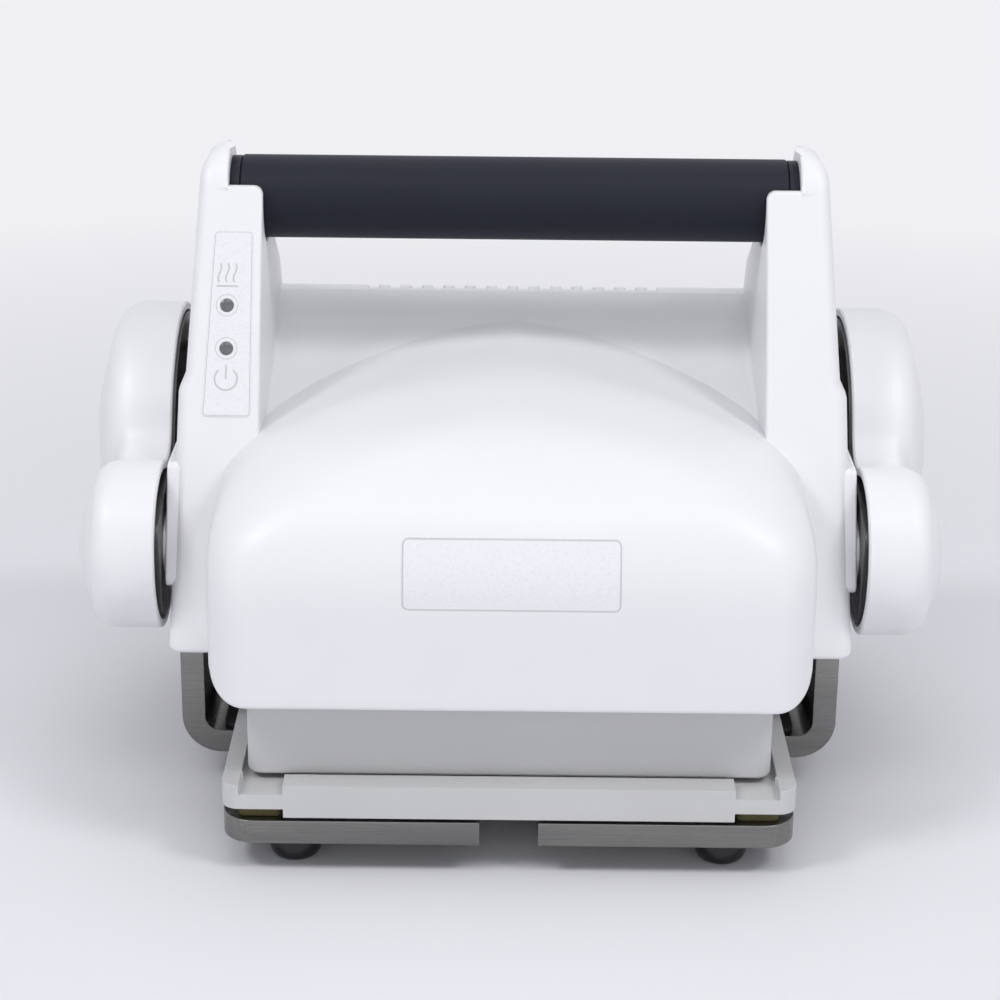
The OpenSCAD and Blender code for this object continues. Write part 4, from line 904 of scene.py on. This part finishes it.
# Indicator label, its lenses and the bare nameplate
label = {"x": -71.3, "z": 119.2, "corner": 1.2, "thick": 0.25, "line": 0.22, "lensV": (-6.2, 4.57),
         "lensRadius": 1.75, "ringRadius": 2.7, "heatV": 12.3, "powerV": -13.4}


def onArm(u, v, n):
    # across the arm's front, up along it, and out from it
    lean = np.radians(arm["lean"])
    y = armFront(label["z"]) + v * np.sin(lean) - n * np.cos(lean)
    z = label["z"] + v * np.cos(lean) + n * np.sin(lean)
    return np.stack([label["x"] + u, y, z], -1)


def onHousing(u, v, n):
    # across the housing's front, its height, and out from it, less where the front is foremost
    y = housingFront(v)
    return np.stack([u, y - n * np.clip(y / 0.3, 0.12, 1), v], -1)


def stroke(path, width, height, base, place, closed=False):
    # a low round bead along a path: half an ellipse across it, narrowing round at open ends
    if closed:
        along = np.roll(path, -1, 0) - np.roll(path, 1, 0)
        taper = np.ones(len(path))
    else:
        along = np.gradient(path, axis=0)
        run = np.concatenate([[0], np.cumsum(np.linalg.norm(np.diff(path, axis=0), axis=1))])
        toEnd = np.minimum(np.minimum(run, run[-1] - run) / (width / 2), 1)
        taper = np.sqrt(np.maximum(1 - (1 - toEnd) ** 2, 0))
    along = along / np.linalg.norm(along, axis=1, keepdims=True)
    across = np.stack([-along[:, 1], along[:, 0]], -1)
    phi = np.radians(np.linspace(0, 180, 7))
    offset = -np.cos(phi)[None, :] * (width / 2) * taper[:, None]
    u = path[:, :1] + across[:, :1] * offset
    v = path[:, 1:] + across[:, 1:] * offset
    n = base + np.sin(phi)[None, :] * height * taper[:, None]
    return place(u, v, n), closed, True, ()


def film(outline, thick, edge, place, rings=14):
    # a thin plate with a round edge: its outline drawn in towards the middle, front and back
    centre = outline.mean(0)
    normal = outwardNormals(outline)
    share = np.linspace(0, 1, rings)
    turn = np.radians(np.linspace(90, 0, 5))
    rows = [(centre + (outline - normal * edge - centre) * s, thick) for s in share[:-1]]
    rows += [(outline - normal * edge * (1 - np.cos(t)), thick - edge * (1 - np.sin(t))) for t in turn]
    rows += [(centre + (outline - centre) * s, -0.05) for s in share[::-1]]
    points = np.stack([place(p[:, 0], p[:, 1], np.full(len(p), n)) for p, n in rows], 1)
    return points, True, False, ()


def rectangle(width, length, corner, centre=(0, 0), count=8):
    # a rectangle's outline about its centre, with round corners
    w, h = width / 2, length / 2
    corners = [(-w, -h), (w, -h), (w, h), (-w, h)]
    return roundedOutline([np.add(c, centre) for c in corners], [corner] * 4, count)


def circlePath(radius, centreV, fromDeg=0, toDeg=360, count=48, closed=True):
    # points at even angles on a circle, at a distance up the label
    angle = np.radians(np.linspace(fromDeg, toDeg, count, endpoint=not closed))
    return np.stack([radius * np.cos(angle), centreV + radius * np.sin(angle)], -1)


def labelLens(centreV):
    # a low dome with a round edge, turned about its own axis out of the arm
    turn = np.radians(np.linspace(0, 90, 10))
    edge = label["lensRadius"] - 0.2 + 0.2 * np.cos(turn[::3])
    profile = [(label["lensRadius"], -1.5), *zip(edge, 0.2 + 0.2 * np.sin(turn[::3]))]
    profile += [(r, 0.4 + 0.25 * (1 - (r / 1.55) ** 2)) for r in np.linspace(1.4, 0, 8)]
    angle = np.linspace(0, 2 * np.pi, 40, endpoint=False)[:, None]
    radius, height = np.array(profile).T[:, None, :]
    u, v = radius * np.cos(angle), centreV + radius * np.sin(angle)
    return onArm(u, v, height + 0 * angle), True, False, ("startV",)


labelCorners = [(-5.9, -23.3), (6.3, -23.3), (6.3, 23.3), (-3.4, 23.3)]
labelOutline = roundedOutline(labelCorners, [label["corner"]] * 4)
makePiece("indicatorLabel", [film(labelOutline, label["thick"], 0.12, onArm)], "label_white", "head",
          ("indicator_label",), 40)
makePiece("indicatorLenses", [labelLens(v) for v in label["lensV"]], "lens_grey", "head",
          ("indicator_lenses",), 40)
# grey beads on the label are painted shade: the outline for the shadow at the label's edge, the rings for the
# shade of engraved rings round the lenses, the heat waves and power sign for the shade beside embossed icons
wave = np.linspace(-1, 1, 25)
paintedShadeLoops = [labelOutline - outwardNormals(labelOutline) * 0.35]
paintedShadeLoops += [circlePath(label["ringRadius"], v) for v in label["lensV"]]
waveX = 0.38 * np.sin(wave * 2.9)
lines = [np.stack([waveX + x, label["heatV"] + 0.4 + 2.5 * wave], -1) for x in (-1.9, 0, 1.9)]
lines += [np.stack([2.8 * wave, label["heatV"] - 2.9 + 0 * wave], -1)]
lines += [circlePath(2.8, label["powerV"] - 0.4, 128, 412, 60, False)]
lines += [np.stack([0 * wave, label["powerV"] + 1.3 + 1.9 * wave], -1)]
paintedShadeGrids = [stroke(p, label["line"], 0.06, label["thick"] - 0.01, onArm, True) for p in paintedShadeLoops]
paintedShadeGrids += [stroke(p, label["line"] * 2.2, 0.08, label["thick"] - 0.01, onArm) for p in lines]
makePiece("labelPaintedShade", paintedShadeGrids, "grey_coat", "head", (), 60)

nameplate = {"width": 51, "low": 68.8, "high": 85.4, "corner": 1.6, "thick": 0.16}
plateMiddle = (0, (nameplate["low"] + nameplate["high"]) / 2)
plateTall = nameplate["high"] - nameplate["low"]


def plateGrid():
    # front and back of the plate as one loop up and down, each row as long as the round corners leave
    p = nameplate
    turn = np.radians(np.linspace(0, 90, 9))
    low = p["low"] + p["corner"] * (1 - np.cos(turn))
    high = p["high"] - p["corner"] * (1 - np.cos(turn[::-1]))
    v = np.concatenate([low, np.linspace(low[-1], high[0], 30)[1:-1], high])
    toEdge = np.maximum(p["corner"] - np.minimum(v - p["low"], p["high"] - v), 0)
    half = p["width"] / 2 - p["corner"] + np.sqrt(np.maximum(p["corner"] ** 2 - toEdge ** 2, 0))
    across = np.linspace(-1, 1, 41)[:, None]
    front = onHousing(across * half, v + 0 * across, p["thick"] + 0 * across)
    back = onHousing(across * half, v + 0 * across, -0.1 + 0 * across)
    return np.concatenate([front, back[:, ::-1]], 1), False, True, ("startU", "endU")


makePiece("namePlate", [plateGrid()], "label_white", "head", ("nameplate",), 40)
# a grey bead just inside the plate's edge is painted shadow of the gap round the plate
plateLine = rectangle(nameplate["width"] - 0.5, plateTall - 0.5, nameplate["corner"] - 0.25, plateMiddle)
sides = [np.linspace(a, b, 14)[:-1] for a, b in zip(plateLine, np.roll(plateLine, -1, 0))]
plateLine = np.concatenate([s if np.linalg.norm(s[-1] - s[0]) > 2 else s[:1] for s in sides])
plateEdgeShadow = stroke(plateLine, 0.42, 0.05, nameplate["thick"] - 0.01, onHousing, True)
makePiece("namePlateEdgeShadow", [plateEdgeShadow], "grey_coat", "head", (), 60)
print("label and nameplate made")

# Rounded copies of the plain machined and bent pieces
roundEdges = {
    "base_frame": ("bentBase", "base", 0.9), "plate_carrier": ("plateNest", "base", 0.35),
    "heater_guard": ("heaterGuard", "platen", 0.7), "left_link_plate": ("leftLink", "head", 0.5),
    "right_link_plate": ("rightLink", "head", 0.5), "carrier_pads": ("nestPads", "base", 0.3),
    "mains_inlet": ("inletBody", "head", 0.35), "switch_housing": ("switchBody", "head", 0.3),
    "switch_rocker": ("rockerCap", "rocker", 0.3), "base_mat": ("baseMat", "base", 0.25),
}
for nodeName, (pieceName, body, width) in roundEdges.items():
    bevelledCopy(nodeName, pieceName, body, width)
print("edges rounded:", len(roundEdges))

# Floor, world and lamps: what the camera and reflections see is a pale studio, whatever lights the object
studio = {"floorColor": (0.84, 0.84, 0.87), "backColor": (0.90, 0.90, 0.93), "skyColor": (0.92, 0.94, 1.0),
          "skyStrength": 0.43, "backStrength": 0.97, "fadeStart": 0.22, "fadeEnd": 0.62}
bpy.ops.mesh.primitive_plane_add(size=3.0, location=(0, 0, 0))
floor = bpy.context.object
floor.name = "floor"


def seenRays(tree):
    # 1 for camera, glossy and transmission rays, 0 for the rays that carry diffuse light
    path = tree.nodes.new("ShaderNodeLightPath")
    value = path.outputs["Is Camera Ray"]
    for name in ("Is Glossy Ray", "Is Transmission Ray"):
        value = mathNode(tree, "MAXIMUM", value, path.outputs[name])
    return value


floorMaterial, floorTree, floorShader = newMaterial("paleFloor", studio["floorColor"], 0.6)
away = mathNode(floorTree, "LENGTH", objectSpace(floorTree), kind="ShaderNodeVectorMath")
far = ramp(floorTree, away, 0, 1, studio["fadeStart"], studio["fadeEnd"])
share = mathNode(floorTree, "MULTIPLY", far, seenRays(floorTree))
glow = floorTree.nodes.new("ShaderNodeEmission")
glow.inputs["Color"].default_value = (*studio["backColor"], 1)
glow.inputs["Strength"].default_value = studio["backStrength"]
floorMix = floorTree.nodes.new("ShaderNodeMixShader")
floorTree.links.new(share, floorMix.inputs["Fac"])
floorTree.links.new(floorShader.outputs["BSDF"], floorMix.inputs[1])
floorTree.links.new(glow.outputs["Emission"], floorMix.inputs[2])
floorTree.links.new(floorMix.outputs["Shader"], floorTree.nodes["Material Output"].inputs["Surface"])
floor.data.materials.append(floorMaterial)

world = bpy.data.worlds.new("studio")
bpy.context.scene.world = world
world.use_nodes = True
worldTree = world.node_tree
background = worldTree.nodes["Background"]
background.inputs["Color"].default_value = (*studio["skyColor"], 1)
background.inputs["Strength"].default_value = studio["skyStrength"]
backdrop = worldTree.nodes.new("ShaderNodeBackground")
backdrop.inputs["Color"].default_value = (*studio["backColor"], 1)
backdrop.inputs["Strength"].default_value = studio["backStrength"]
mixShader = worldTree.nodes.new("ShaderNodeMixShader")
worldTree.links.new(seenRays(worldTree), mixShader.inputs["Fac"])
worldTree.links.new(background.outputs["Background"], mixShader.inputs[1])
worldTree.links.new(backdrop.outputs["Background"], mixShader.inputs[2])
worldTree.links.new(mixShader.outputs["Shader"], worldTree.nodes["World Output"].inputs["Surface"])


def areaLamp(name, place, target, size, power):
    # a rectangular lamp at a place, turned so that its beam runs to the target
    data = bpy.data.lights.new(name, "AREA")
    data.shape = "RECTANGLE"
    data.size, data.size_y = size
    data.energy = power
    lamp = bpy.data.objects.new(name, data)
    bpy.context.scene.collection.objects.link(lamp)
    lamp.location = place
    lamp.rotation_euler = (Vector(target) - Vector(place)).to_track_quat("-Z", "Y").to_euler()


lamps = {     # place, target, size, power
    "keyLeft": ((-0.72, -0.52, 1.1), (0, 0, 0.1), (0.3, 0.3), 4.15),
    "keyRight": ((0.72, -0.52, 1.1), (0, 0, 0.1), (0.3, 0.3), 3.95),
    "keyFront": ((0, -0.5, 0.98), (0, 0, 0.1), (0.5, 0.3), 1.1),
    "frontLamp": ((0.2, -1.5, 0.45), (0, 0, 0.08), (1.2, 0.8), 1.8),
    "topLamp": ((0.1, 0.3, 1.4), (0, 0, 0.1), (1.0, 1.0), 2.2),
    "edgeLeft": ((-0.75, -0.95, 0.25), (0, -0.05, 0.03), (0.06, 0.4), 0.4),
    "edgeRight": ((0.75, -0.95, 0.25), (0, -0.05, 0.03), (0.06, 0.4), 0.4),
}
for lampName, values in lamps.items():
    areaLamp(lampName, *values)
bpy.context.scene.view_settings.view_transform = "Standard"
print("scene ready")
